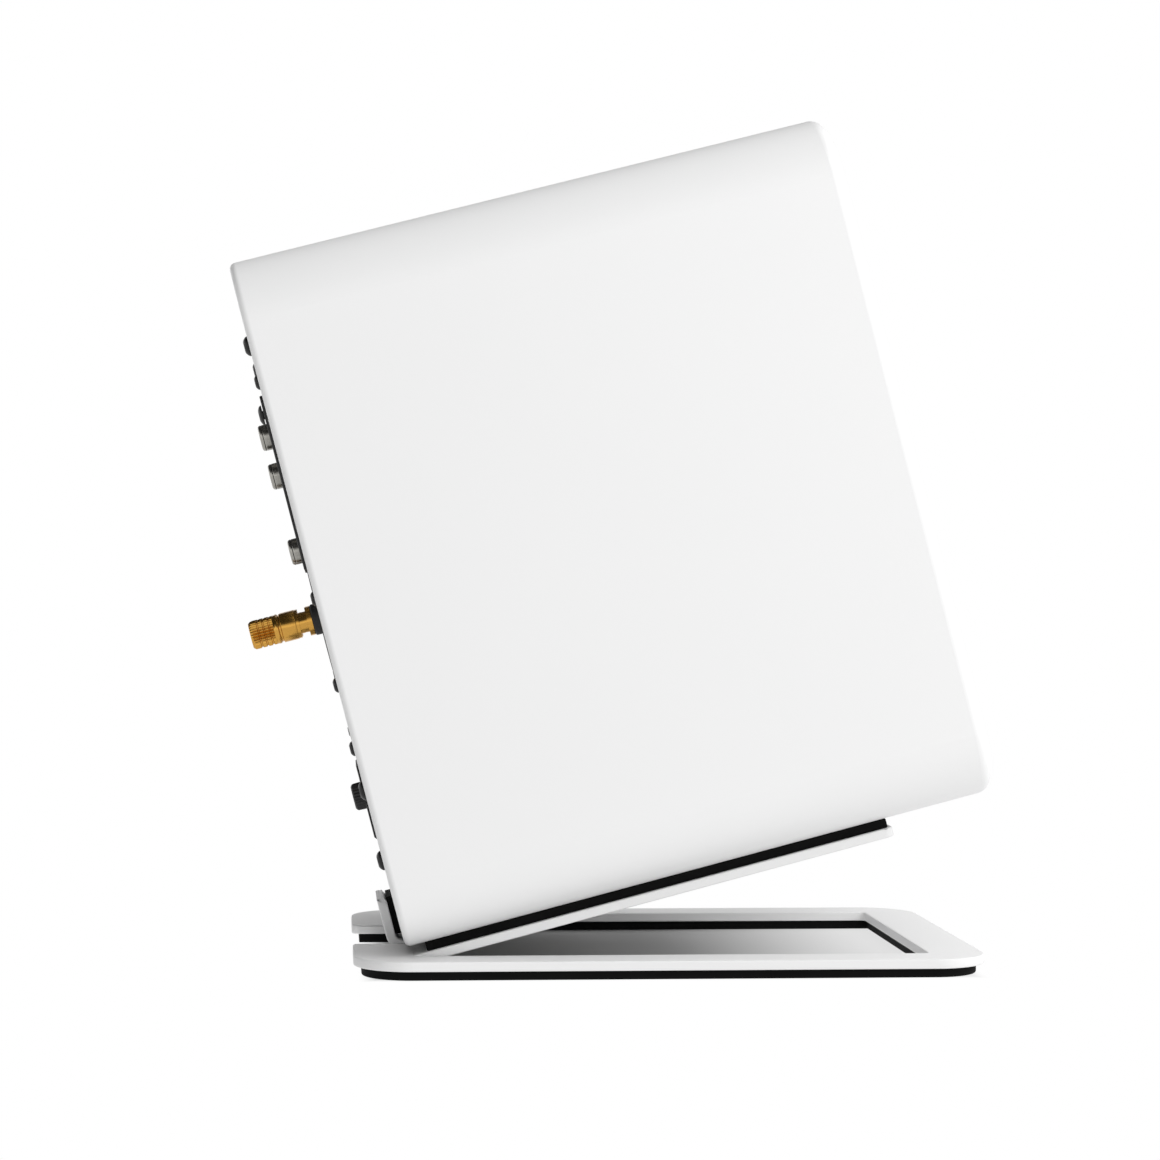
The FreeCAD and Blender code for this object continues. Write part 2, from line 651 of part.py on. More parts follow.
def make_woofer():
    rim = "woofer_rim_thickness"
    basket = spun([
        ("-" + rim, "woofer_radius"), ("0", "woofer_radius"),
        ("0", "surround_outer_radius + flange_over"), ("cone_edge", "surround_outer_radius + flange_over"),
        ("cone_edge", "surround_outer_radius - 2"), ("-" + rim, "surround_outer_radius - 2"),
        ("-basket_depth + basket_back_wall", "basket_back_radius - basket_back_wall"),
        ("-basket_depth + basket_back_wall", "coil_clear"),
        ("-basket_depth", "coil_clear"), ("-basket_depth", "basket_back_radius"),
        (f"-{rim} - 2", "woofer_hole_radius - 1.5"), ("-" + rim, "woofer_hole_radius - small_round")],
        "0", "woofer_height", "front")
    windows = [
        block(("front - basket_depth + basket_ring", "-basket_window / 2", "woofer_height - woofer_radius"),
              ("front - rim_depth - 4", "basket_window / 2", "woofer_height + woofer_radius")),
        block(("front - basket_depth + basket_ring", "-woofer_radius", "woofer_height - basket_window / 2"),
              ("front - rim_depth - 4", "woofer_radius", "woofer_height + basket_window / 2"))]
    holes = []
    for across, height in WOOFER_SCREWS:
        holes.append(rod("along", "driver_screw_shank + joint_gap", "front - rim_depth", "front + 1",
                         across, height))
        holes.append(rod("along", "driver_screw_head + joint_gap", "front - screw_head_height",
                         "front + 1", across, height))
    finish("woofer_basket", cut(basket, *windows, *holes))
    middle = "((surround_outer_radius + surround_inner_radius) / 2)"
    surround = spun([
        ("cone_edge", "surround_outer_radius + flange_under"),
        ("cone_edge + skin_thickness", "surround_outer_radius + flange_under"),
        ("cone_edge + skin_thickness", "surround_outer_radius - skin_thickness"),
        ("cone_edge + skin_thickness + 0.8 * surround_rise", f"{middle} + surround_roll"),
        ("cone_edge + skin_thickness + surround_rise", middle),
        ("cone_edge + skin_thickness + 0.8 * surround_rise", f"{middle} - surround_roll"),
        ("cone_edge + skin_thickness", "surround_inner_radius + surround_flange"),
        ("cone_edge + skin_thickness", "surround_inner_radius + joint_gap"),
        ("cone_edge", "surround_inner_radius + joint_gap"),
        ("cone_edge", "surround_inner_radius + surround_flange + skin_thickness"),
        ("cone_edge + 0.8 * surround_rise", f"{middle} - 0.67 * surround_roll"),
        ("cone_edge + surround_rise", middle),
        ("cone_edge + 0.8 * surround_rise", f"{middle} + 0.67 * surround_roll"),
        ("cone_edge", "surround_outer_radius - 2 * skin_thickness")], "0", "woofer_height", "front")
    finish("woofer_surround", group(surround))
    cone = spun([
        ("cone_edge", "surround_inner_radius"),
        ("cone_edge + skin_thickness", "surround_inner_radius"),
        ("cone_neck + skin_thickness", "coil_radius"), ("cone_neck", "coil_radius")],
        "0", "woofer_height", "front")
    finish("woofer_cone", group(cone))
    cap_rim = "coil_radius + cap_overlap"
    cap_back = ("(cone_neck + skin_thickness "
                "+ cap_overlap * cone_depth / (surround_inner_radius - coil_radius))")
    cap = spun([
        (cap_back, cap_rim), (f"{cap_back} + 0.6 * cap_rise", f"0.8 * ({cap_rim})"),
        (f"{cap_back} + 0.9 * cap_rise", f"0.45 * ({cap_rim})"), (f"{cap_back} + cap_rise", "0"),
        (f"{cap_back} + cap_rise - skin_thickness", "0"),
        (f"{cap_back} + 0.9 * cap_rise - skin_thickness", f"0.42 * ({cap_rim})"),
        (f"{cap_back} + 0.6 * cap_rise - skin_thickness", f"0.74 * ({cap_rim})"),
        (cap_back, f"{cap_rim} - skin_thickness")],
        "0", "woofer_height", "front")
    finish("dust_cap", group(cap))
    coil = cut(rod("along", "coil_radius + coil_wall", "front + coil_end", "front + cone_neck", "0",
                   "woofer_height"),
               rod("along", "coil_radius", "front + coil_end - 1", "front", "0", "woofer_height"))
    finish("voice_coil", coil)
    valley = "(-basket_depth + spider_back)"
    crest = f"{valley} + spider_wave"
    waves = ["coil_clear + 0.27 * spider_width", "coil_clear + 0.53 * spider_width",
             "coil_clear + 0.8 * spider_width"]
    spider_edge = "coil_clear + spider_width"
    spider = spun([
        (valley, "coil_clear"), (f"{valley} + spider_skin", "coil_clear"),
        (f"{crest} + spider_skin", waves[0]), (f"{valley} + spider_skin", waves[1]),
        (f"{crest} + spider_skin", waves[2]), (f"{valley} + spider_skin", spider_edge),
        (valley, spider_edge), (crest, waves[2]), (valley, waves[1]), (crest, waves[0])],
        "0", "woofer_height", "front")
    finish("spider", group(spider))
    axis = ("0", "woofer_height")
    top_plate = cut(rod("along", "magnet_radius - magnet_lip", "front + magnet_front",
                        "front - basket_depth", *axis),
                    rod("along", "coil_clear", "front + magnet_front - 1", "front", *axis))
    finish("magnet_top_plate", top_plate)
    magnet = cut(rod("along", "magnet_radius", "front + magnet_back", "front + magnet_front", *axis),
                 rod("along", "coil_clear + magnet_lip + 1", "front + magnet_back - 1", "front", *axis))
    finish("woofer_magnet", magnet)
    pole = fused(rod("along", "magnet_radius - magnet_lip", "front + magnet_back - steel_plate_thickness",
                     "front + magnet_back", *axis),
                 rod("along", "coil_radius - working_gap", "front + magnet_back",
                     "front - basket_depth", *axis))
    finish("pole_piece", pole)


def make_tweeter():
    axis = ("0", "tweeter_height")
    plate = spun([
        ("-tweeter_plate_thickness", "tweeter_radius"), ("0", "tweeter_radius"),
        ("0", "dome_radius + tweeter_horn_width"), ("-tweeter_horn_depth", "dome_radius + dome_edge"),
        ("-tweeter_plate_thickness", "dome_radius + dome_edge")], "0", "tweeter_height", "front")
    holes = []
    for spot in TWEETER_SCREWS:
        holes.append(rod("along", "driver_screw_shank + joint_gap", "front - tweeter_rim_depth",
                         "front + 1", *spot))
        holes.append(rod("along", "driver_screw_head + joint_gap", "front - screw_head_height",
                         "front + 1", *spot))
    finish("tweeter_plate", cut(plate, *holes))
    base = "(-tweeter_plate_thickness + dome_skin)"
    dome = spun([
        (base, "dome_radius"), (f"{base} + 0.6 * dome_rise", "0.78 * dome_radius"),
        (f"{base} + 0.92 * dome_rise", "0.42 * dome_radius"), (f"{base} + dome_rise", "0"),
        (f"{base} + dome_rise - dome_skin", "0"),
        (f"{base} + 0.92 * dome_rise - dome_skin", "0.4 * dome_radius"),
        (f"{base} + 0.6 * dome_rise - dome_skin", "0.73 * dome_radius"),
        (base, "dome_radius - 1.5 * dome_skin")],
        "0", "tweeter_height", "front")
    finish("tweeter_dome", group(dome))
    magnet = rod("along", "tweeter_magnet_radius",
                 "front - tweeter_plate_thickness - tweeter_magnet_depth",
                 "front - tweeter_plate_thickness", *axis)
    finish("tweeter_magnet", group(magnet))


def make_driver_gaskets():
    """Foam rings between the drivers' rims and the seats cut for them."""
    rings = []
    for rim, hole, depth, height, screws in (
            ("woofer_radius", "woofer_hole_radius", "rim_depth", "woofer_height", WOOFER_SCREWS),
            ("tweeter_radius", "tweeter_hole_radius", "tweeter_rim_depth", "tweeter_height",
             TWEETER_SCREWS)):
        through = (f"front - ({depth}) - 1", "front")
        holes = [rod("along", "driver_screw_shank + joint_gap", *through, *spot) for spot in screws]
        rings.append(cut(
            rod("along", rim, f"front - ({depth})", f"front - ({depth}) + gasket_thickness", "0",
                height),
            rod("along", hole, *through, "0", height), *holes))
    finish("driver_gaskets", group(*rings))


def make_driver_screws():
    finish("driver_screws", group(*[
        screw(across, height, "front - screw_head_height", -1, "driver_screw_head",
              "screw_head_height - small_chamfer", "driver_screw_shank", "driver_screw_length")
        for across, height in WOOFER_SCREWS + TWEETER_SCREWS]))


def make_front_controls():
    spot = ("dial_across", "dial_height")
    back = "front - baffle_thickness"
    encoder_half = "encoder_size / 2"
    finish("volume_encoder", cut(
        block((f"{back} - encoder_depth", f"dial_across - {encoder_half}",
               f"dial_height - {encoder_half}"),
              (back, f"dial_across + {encoder_half}", f"dial_height + {encoder_half}")),
        rod("along", "dial_shaft_radius + press_gap", f"{back} - 5", "front", *spot)))
    finish("volume_shaft", group(
        rod("along", "dial_shaft_radius", f"{back} - 5 + dial_press + edge_gap",
            "front + dial_gap + dial_length - 3", *spot)))
    dial = spun([
        ("dial_gap", "dial_shaft_radius + press_gap"), ("dial_gap", "dial_radius"),
        ("dial_gap + dial_length - flange_over", "dial_radius - edge_gap"),
        ("dial_gap + dial_length", "dial_radius - 1"), ("dial_gap + dial_length", "0"),
        ("dial_gap + dial_length - 2.9", "0"),
        ("dial_gap + dial_length - 2.9", "dial_shaft_radius + press_gap")], *spot, "front")
    finish("volume_dial", group(dial))
    finish("status_light", fused(
        rod("along", "light_radius - press_gap", f"{back} + 3", "front + small_step", "0", "light_height"),
        rod("along", "light_radius + 1", f"{back} - 4", f"{back}", "0", "light_height"),
        rod("along", "light_radius - press_gap", f"{back} - 1", f"{back} + 4", "0", "light_height")))


def make_back_panel():
    half = "panel_width / 2"
    plate = slab("YZ_Plane", "panel_thickness",
                 rectangle(negative(half), half, "panel_bottom", "panel_bottom + panel_height"))
    rounded(plate, "panel_corner_radius", lambda edge, box: is_upright(edge, 0))
    through = ("-1", "panel_thickness + 1")
    tools = [rod("along", "panel_screw_shank + joint_gap", *through, across, height)
             for across, height in PANEL_SCREWS + TRIM_SCREWS]
    tools += [rod("along", "jack_cup_radius + press_gap", *through, "-jack_across", height)
              for height in JACKS]
    tools += [rod("along", "post_stem_radius + pass_gap", *through, across, "post_height")
              for across in ("-post_near_across", "-post_far_across")]
    tools.append(rod("along", "earth_hole_radius", *through, "-earth_across", "earth_height"))
    tools.append(rod("along", "aux_sleeve_radius + press_gap", *through, "aux_across", "aux_height"))
    tools.append(rod("along", "port_radius + port_wall + joint_gap", *through, "port_across",
                     "port_height"))
    tools.append(rod("along", "pair_radius + pass_gap", *through, "pair_across", "pair_height"))
    tools.append(rod("along", "level_shaft_radius + small_chamfer", *through, "-level_across",
                     "level_height"))
    for across, height, width, rise in (
            ("optical_across", "optical_height", "optical_size", "optical_size"),
            ("usb_across", "usb_height", "usb_width", "usb_opening"),
            ("-jack_across", "select_height", "4", "select_slot"),
            ("inlet_across", "inlet_height", "inlet_body_width", "inlet_body_rise"),
            ("rocker_across", "rocker_height", "rocker_width + 2 * rocker_rim",
             "rocker_rise + 2 * rocker_rim")):
        tools.append(block(("-1", f"{across} - ({width}) / 2 - joint_gap",
                            f"{height} - ({rise}) / 2 - joint_gap"),
                           ("panel_thickness + 1", f"{across} + ({width}) / 2 + joint_gap",
                            f"{height} + ({rise}) / 2 + joint_gap")))
    finish("amplifier_plate", cut(plate, *tools))
    sheet_of_foam = slab("YZ_Plane", "gasket_thickness",
                         rectangle(f"-{half} + 1", f"{half} - 1", "panel_bottom + 1",
                                   "panel_bottom + panel_height - 1"))
    rounded(sheet_of_foam, "panel_corner_radius - 1", lambda edge, box: is_upright(edge, 0))
    shift(sheet_of_foam, along="panel_thickness")
    gasket = cut(
        sheet_of_foam,
        block(("0", "-opening_half", "opening_bottom"), ("10", "opening_half", "opening_top")),
        *[rod("along", "panel_screw_shank + joint_gap", "0", "10", across, height)
          for across, height in PANEL_SCREWS + TRIM_SCREWS])
    finish("plate_gasket", gasket)
    finish("panel_screws", group(*[
        screw(across, height, "0", 1, "panel_screw_head", "screw_head_height",
              "panel_screw_shank - press_gap", "panel_screw_length") for across, height in PANEL_SCREWS]))
    finish("trim_screws", group(*[
        screw(across, height, "0", 1, "trim_screw_head", "trim_screw_head_height",
              "panel_screw_shank - press_gap", "panel_screw_length") for across, height in TRIM_SCREWS]))


def make_jacks():
    face = "-bezel_thickness"
    bezel = slab("YZ_Plane", "bezel_thickness",
                 rectangle("-bezel_left", "-bezel_right", "bezel_bottom", "bezel_top"))
    rounded(bezel, "bezel_corner_radius", lambda edge, box: is_upright(edge, 0))
    shift(bezel, along=face)
    through = (f"{face} - 1", "1")
    tools = [rod("along", "earth_hole_radius", *through, "-earth_across", "earth_height")]
    tools.append(block((f"{face} - 1", "-jack_across - 2.5", "select_height - select_slot / 2"),
                       ("1", "-jack_across + 2.5", "select_height + select_slot / 2")))
    cups = []
    for height in JACKS:
        spot = ("-jack_across", height)
        cups.append(rod("along", "jack_cup_radius", face, "jack_well_depth + jack_well_wall", *spot))
        tools.append(rod("along", "jack_well_radius", f"{face} - 1", "jack_well_depth", *spot))
        tools.append(rod("along", "jack_tail_radius + hairline", "0", "jack_depth", *spot))
    finish("jack_bezel", cut(fused(bezel, *cups), *tools))
    shells = []
    inserts = []
    for height in JACKS:
        spot = ("-jack_across", height)
        shells.append(cut(fused(rod("along", "jack_radius", "-jack_reach", "jack_well_depth", *spot),
                                rod("along", "jack_tail_radius", "0", "jack_depth", *spot)),
                          rod("along", "jack_insert_radius", "-jack_reach - 1", "jack_depth + 1", *spot)))
        inserts.append(cut(rod("along", "jack_insert_radius", "-jack_reach + small_step",
                               "jack_depth", *spot),
                           rod("along", "jack_hole_radius", "-jack_reach - 1", "jack_depth - 3", *spot)))
    finish("jack_shells", group(*shells))
    finish("jack_inserts", group(*inserts))
    spot = ("aux_across", "aux_height")
    finish("aux_socket", fused(
        cut(rod("along", "aux_sleeve_radius", "-aux_reach", "3", *spot),
            rod("along", "aux_bore_radius", "-aux_reach - 1", "4", *spot)),
        cut(block(("panel_thickness + edge_gap", "aux_across - 4", "aux_height - 5"),
                  ("aux_depth + 2", "aux_across + 4", "aux_height + 5")),
            rod("along", "aux_bore_radius", "0", "aux_depth", *spot))))
    finish("aux_nut", cut(prism(6, "aux_nut_radius", "-aux_reach + edge_gap", "0", *spot),
                          rod("along", "aux_sleeve_radius", "-aux_reach - 1", "1", *spot)))


def make_digital_sockets():
    half = "optical_size / 2"
    opening = "optical_opening / 2"
    body = cut(
        block(("-0.4", f"optical_across - {half}", f"optical_height - {half}"),
              ("12", f"optical_across + {half}", f"optical_height + {half}")),
        block(("-1", f"optical_across - {opening}", f"optical_height - {opening}"),
              ("8", f"optical_across + {opening}", f"optical_height + {opening}")))
    finish("optical_socket", body)
    flap_half = f"{opening} - flap_gap"
    finish("optical_flap", block(
        ("0.6", f"optical_across - ({flap_half})", f"optical_height - ({flap_half})"),
        ("1.4", f"optical_across + {flap_half}", f"optical_height + {flap_half}")))
    width = "usb_width / 2"
    rise = "usb_opening / 2"
    shell = cut(
        block(("-0.4", f"usb_across - {width}", f"usb_height - {rise}"),
              ("usb_depth", f"usb_across + {width}", f"usb_height + {rise}")),
        block(("-1", f"usb_across - {width} + small_round", f"usb_height - {rise} + small_round"),
              ("usb_depth - 1", f"usb_across + {width} - small_round",
               f"usb_height + {rise} - small_round")))
    tongue = block(("0.6", f"usb_across - {width} + frame_wall", "usb_height + edge_gap"),
                   ("usb_depth - 1", f"usb_across + {width} - frame_wall", "usb_height + 1.9"))
    finish("usb_socket", fused(shell, tongue))


def make_small_controls():
    across = "-jack_across"
    slot = "select_slot"
    select_body = cut(
        block(("panel_thickness + edge_gap", f"{across} - 4.5", f"select_height - {slot} / 2 - flange_over"),
              ("8", f"{across} + 4.5", f"select_height + {slot} / 2 + flange_over")),
        block(("0", f"{across} - slider_half", f"select_height - {slot} / 2"),
              ("6", f"{across} + slider_half", f"select_height + {slot} / 2")))
    pair_body = block(("panel_thickness + frame_wall + pair_travel", "pair_across - 3", "pair_height - 3"),
                      ("8", "pair_across + 3", "pair_height + 3"))
    finish("small_switches", group(select_body, pair_body))
    nub = "(select_height - select_travel / 2)"
    finish("select_slider", block(("-bezel_thickness + pass_gap", f"{across} - 1.4", f"{nub} - slider_half"),
                                  ("5.5", f"{across} + 1.4", f"{nub} + slider_half")))
    finish("pair_button", fused(
        rod("along", "pair_radius - button_gap", "-0.9", "panel_thickness + small_chamfer",
            "pair_across", "pair_height"),
        rod("along", "pair_radius + 1", "panel_thickness + pass_gap", "panel_thickness + 1.1",
            "pair_across", "pair_height")))
    level = ("-level_across", "level_height")
    knob = spun([
        ("-0.6", "level_shaft_radius + press_gap"), ("-0.6", "level_radius"),
        ("-level_reach + small_round", "level_radius - button_gap"),
        ("-level_reach", "level_radius - flange_over"),
        ("-level_reach", "0"), ("-level_reach + frame_wall", "0"),
        ("-level_reach + frame_wall", "level_shaft_radius + press_gap")], *level)
    finish("level_knob", fused(
        knob, rod("along", "level_shaft_radius", "-level_reach + frame_wall", "6.8", *level)))
    finish("level_control", cut(
        block(("panel_thickness + edge_gap", "-level_across - 6", "level_height - 6"),
              ("9", "-level_across + 6", "level_height + 6")),
        rod("along", "level_shaft_radius + press_gap", "0", "7", *level)))


def make_mains():
    width = "inlet_width / 2"
    rise = "inlet_rise / 2"
    body_width = "inlet_body_width / 2"
    body_rise = "inlet_body_rise / 2"
    housing = fused(
        block(("-inlet_flange", f"inlet_across - {width}", f"inlet_height - {rise}"),
              ("0", f"inlet_across + {width}", f"inlet_height + {rise}")),
        block(("-inlet_flange", f"inlet_across - {body_width}", f"inlet_height - {body_rise}"),
              ("inlet_depth", f"inlet_across + {body_width}", f"inlet_height + {body_rise}")))
    well = block(
        ("-inlet_flange - 1", f"inlet_across - {body_width} + inlet_wall",
         f"inlet_height - {body_rise} + inlet_wall"),
        ("inlet_well_depth", f"inlet_across + {body_width} - inlet_wall",
         f"inlet_height + {body_rise} - inlet_wall"))
    finish("mains_inlet", cut(housing, well))
    blades = []
    for side, lift in (("-7", "-1.6"), ("0", "2.4"), ("7", "-1.6")):
        blades.append(block(
            ("1.5", f"inlet_across + ({side}) - 1", f"inlet_height + ({lift}) - 2"),
            ("inlet_well_depth", f"inlet_across + ({side}) + 1", f"inlet_height + ({lift}) + 2")))
    finish("inlet_blades", group(*blades))
    width = "rocker_width / 2"
    rise = "rocker_rise / 2"
    frame = cut(
        fused(block(("-rocker_proud", f"rocker_across - {width} - frame_reach",
                     f"rocker_height - {rise} - frame_reach"),
                    ("0", f"rocker_across + {width} + frame_reach",
                     f"rocker_height + {rise} + frame_reach")),
              block(("-rocker_proud", f"rocker_across - {width} - rocker_rim",
                     f"rocker_height - {rise} - rocker_rim"),
                    ("14", f"rocker_across + {width} + rocker_rim",
                     f"rocker_height + {rise} + rocker_rim"))),
        block(("-2", f"rocker_across - {width}", f"rocker_height - {rise}"),
              ("11", f"rocker_across + {width}", f"rocker_height + {rise}")))
    finish("switch_frame", frame)
    half = f"({width} - small_chamfer)"
    tip = f"({rise} - small_round)"
    rocker = slab("XZ_Plane", f"2 * {half}", [
        (f"0.7 + {tip} * tan(rocker_tilt - rocker_dish)", f"-{tip}"), ("4", f"-0.85 * {tip}"),
        ("6.4", "-2"), ("6.4", "2"), ("3", f"0.95 * {tip}"),
        (f"0.7 - {tip} * tan(rocker_tilt + rocker_dish)", tip), ("0.7", "0")], both_ways=True)
    shift(rocker, "0", "rocker_across", "rocker_height")
    finish("power_rocker", group(rocker))


def make_port():
    flare = "port_radius + port_flare"
    tube = spun([
        ("-port_rim_thickness", f"{flare} - frame_wall"), ("-port_rim_thickness", flare), ("0", flare),
        ("0", "port_radius + port_wall"), ("port_length", "port_radius + port_wall"),
        ("port_length", "port_radius"), ("5", "port_radius"), ("1", "port_radius + 0.35 * port_wall"),
        ("-0.3", "port_radius + 0.8 * port_wall")],
        "port_across", "port_height")
    finish("bass_port", group(tube))


def make_posts():
    """Screw terminals: two for the second loudspeaker's lead, and a small one for an earth lead."""
    stems = []
    insulators = []
    cap_end = "post_reach"
    stem_end = "(post_reach - post_cap_wall - post_travel - edge_gap)"
    foot = "(post_base + post_ring)"
    nut_end = "panel_thickness + post_nut_thickness"
    for name, across in (("near_post", "-post_near_across"), ("far_post", "-post_far_across")):
        spot = (across, "post_height")
        insulators.append(cut(
            spun([("-post_base", "0"), ("-post_base", "post_base_radius - post_base_chamfer"),
                  ("-post_base + post_base_chamfer", "post_base_radius"), ("0", "post_base_radius"),
                  ("0", "post_stem_radius"), ("panel_thickness", "post_stem_radius"),
                  ("panel_thickness", "post_base_radius"), (nut_end, "post_base_radius"),
                  (nut_end, "0")], *spot),
            rod("along", "post_bolt_radius", "-post_base - 1", f"{nut_end} + 1", *spot)))
        stems.append(cut(
            fused(rod("along", "post_bolt_radius", "-post_base", "post_bolt_length", *spot),
                  rod("along", "post_skirt_radius", f"-{foot}", "-post_base", *spot),
                  rod("along", "post_stem_radius", f"-{stem_end}", f"-{foot}", *spot)),
            rod("along", "post_bore_radius", "-post_reach", "-post_cap_start", *spot),
            rod("above", "post_cross_hole", "post_height - post_skirt_radius",
                "post_height + post_skirt_radius", f"-{foot} - post_cross_back", across)))
        finish(name + "_washer", cut(
            rod("along", "post_skirt_radius - pass_gap", "-post_cap_start + press_gap",
                "-post_cap_start + post_washer", *spot),
            rod("along", "post_stem_radius + turn_gap", "-post_cap_start - 1", "0", *spot)))
        cap = spun([
            ("-post_cap_start", "post_stem_radius + turn_gap"), ("-post_cap_start", "post_skirt_radius"),
            ("-post_knurl_start", "post_skirt_radius"),
            ("-post_knurl_start - small_chamfer", "post_cap_radius"),
            (f"-{cap_end} + cap_chamfer", "post_cap_radius"),
            (f"-{cap_end}", "post_cap_radius - cap_chamfer"),
            (f"-{cap_end}", "post_bore_radius + edge_gap"),
            (f"-{cap_end} + post_cap_wall", "post_bore_radius + edge_gap"),
            (f"-{cap_end} + post_cap_wall", "post_stem_radius + turn_gap")], *spot)
        finish(name + "_cap", group(cap))
    finish("post_stems", group(*stems))
    finish("post_insulators", group(*insulators))
    spot = ("-earth_across", "earth_height")
    finish("earth_screw", fused(
        rod("along", "earth_head_radius", "-earth_reach", "-earth_head_back", *spot),
        rod("along", "earth_hole_radius - press_gap", "-earth_head_back", "earth_length", *spot)))


def make_inside():
    board_face = ("board_back", "board_back + board_thickness")
    half = "board_width / 2"
    corners = [(side + f"({half} - 5)", height) for side in ("-", "")
               for height in ("board_bottom + 5", "board_top - 5")]
    board = cut(
        block((board_face[0], f"-{half}", "board_bottom"), (board_face[1], half, "board_top")),
        rod("along", "port_radius + port_wall + 1", "0", "board_back + 10", "port_across", "port_height"),
        *[rod("along", "1.6", "board_back - 1", "board_back + 5", *spot) for spot in corners])
    finish("amplifier_board", board)
    finish("board_standoffs", group(*[
        cut(rod("along", "standoff_radius", "panel_thickness", "board_back", *spot),
            rod("along", "1.2", "board_back - 8", "board_back + 1", *spot)) for spot in corners]))
    finish("board_screws", group(*[
        screw(*spot, board_face[1], -1, "2.8", "1.6", "1.15", "7") for spot in corners]))
    fins = [block((board_face[1], "-35", "board_top - 50"),
                  (f"{board_face[1]} + 3", "15", "board_top - 22"))]
    for n in range(int(sizes["fin_count"])):
        low = f"-35 + {n} * fin_pitch"
        fins.append(block((f"{board_face[1]} + 2", low, "board_top - 50"),
                          (f"{board_face[1]} + fin_height", f"{low} + fin_thickness", "board_top - 22")))
    finish("heat_sink", fused(*fins))
    finish("capacitors", group(*[
        rod("along", "8", board_face[1], f"{board_face[1]} + 30", side, "board_bottom + 14")
        for side in ("-30", "-10")]))
    spot = ("transformer_along", "0")
    top = "cabinet_wall + transformer_rise"
    finish("transformer", cut(rod("above", "transformer_radius", "cabinet_wall", top, *spot),
                              rod("above", "transformer_bore", "0", f"{top} + 1", *spot)))
    finish("transformer_bolt", fused(
        rod("above", "transformer_bore - pass_gap", "cabinet_wall", top, *spot),
        rod("above", "transformer_bore + 7", top, f"{top} + 1.5", *spot)))
    wall = "(cabinet_width / 2 - cabinet_wall)"
    low = ("cabinet_wall + 30", "cabinet_wall + 20")
    high = ("cabinet_depth - baffle_thickness - 12", "cabinet_height - cabinet_wall - 14")
    finish("damping_felt", group(
        block((low[0], f"-{wall}", low[1]), (high[0], f"-{wall} + felt_thickness", high[1])),
        block((low[0], f"{wall} - felt_thickness", low[1]), (high[0], wall, high[1]))))


make_stand()
make_stand_pads()
make_cabinet()
make_woofer()
make_tweeter()
make_driver_gaskets()
make_driver_screws()
make_front_controls()
make_back_panel()
make_jacks()
make_digital_sockets()
make_small_controls()
make_mains()
make_port()
make_posts()
make_inside()
doc.recompute()

for item in doc.Objects:
    if "Invalid" in item.State or "Error" in item.State:
        raise RuntimeError(f"{item.Label} failed: {item.State}")
for item in pieces:
    if item.Shape.isNull() or not item.Shape.isValid() or not item.Shape.Solids:
        raise RuntimeError(f"{item.Label} has no valid solid")

os.makedirs("parts", exist_ok=True)
for item in pieces:
    item.Shape.exportStep(f"parts/{item.Label}.step")
print(f"{len(pieces)} pieces written")
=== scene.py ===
import math
import bmesh
import bpy
import numpy as np
from mathutils import Matrix, Vector


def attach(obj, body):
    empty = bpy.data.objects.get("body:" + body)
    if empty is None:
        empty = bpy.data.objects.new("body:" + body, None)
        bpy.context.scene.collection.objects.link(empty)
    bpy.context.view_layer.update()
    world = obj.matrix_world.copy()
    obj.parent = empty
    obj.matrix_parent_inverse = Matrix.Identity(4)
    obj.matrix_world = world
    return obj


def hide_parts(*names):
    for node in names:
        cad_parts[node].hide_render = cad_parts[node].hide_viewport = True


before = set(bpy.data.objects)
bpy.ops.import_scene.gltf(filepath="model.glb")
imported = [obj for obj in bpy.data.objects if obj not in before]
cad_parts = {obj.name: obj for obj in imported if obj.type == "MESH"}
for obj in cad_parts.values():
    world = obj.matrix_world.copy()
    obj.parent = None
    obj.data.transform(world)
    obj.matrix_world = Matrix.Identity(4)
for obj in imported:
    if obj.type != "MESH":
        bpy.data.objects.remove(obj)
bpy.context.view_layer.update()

# A small powered loudspeaker that leans back on a bent steel desk stand. All lengths in the
# dictionaries are millimetres. In the loudspeaker's own frame a point is (along, across, above):
# along from its back to its front, across towards +Y, above from its underside up.
mm = 0.001
joinDistance = 2e-6  # metres, under which two mesh points are one
axisRadius = 0.01  # a closed end of a turned piece keeps this radius
diagonal = 0.70711
facets = dict(driver=144, dome=120, port=120, light=48, dot=32, postTooth=8, knobTooth=8,
              dialTooth=6)
profileRows = dict(roll=25, cone=28, cap=22, mouth=18, flare=20)
noiseDetail = dict(fine=3.0, broad=4.0)
print("frame loaded")


leaning = dict(angle=14.8, cornerX=-68.5298, cornerZ=8.3868)


# world = corner + along * (cos a, 0, sin a) + above * (-sin a, 0, cos a), across kept as Y
def leaned(points):
    angle = math.radians(leaning["angle"])
    along, across, above = np.moveaxis(np.asarray(points, float), -1, 0)
    x = leaning["cornerX"] + along * math.cos(angle) - above * math.sin(angle)
    z = leaning["cornerZ"] + along * math.sin(angle) + above * math.cos(angle)
    return np.stack([x, across, z], -1) * mm


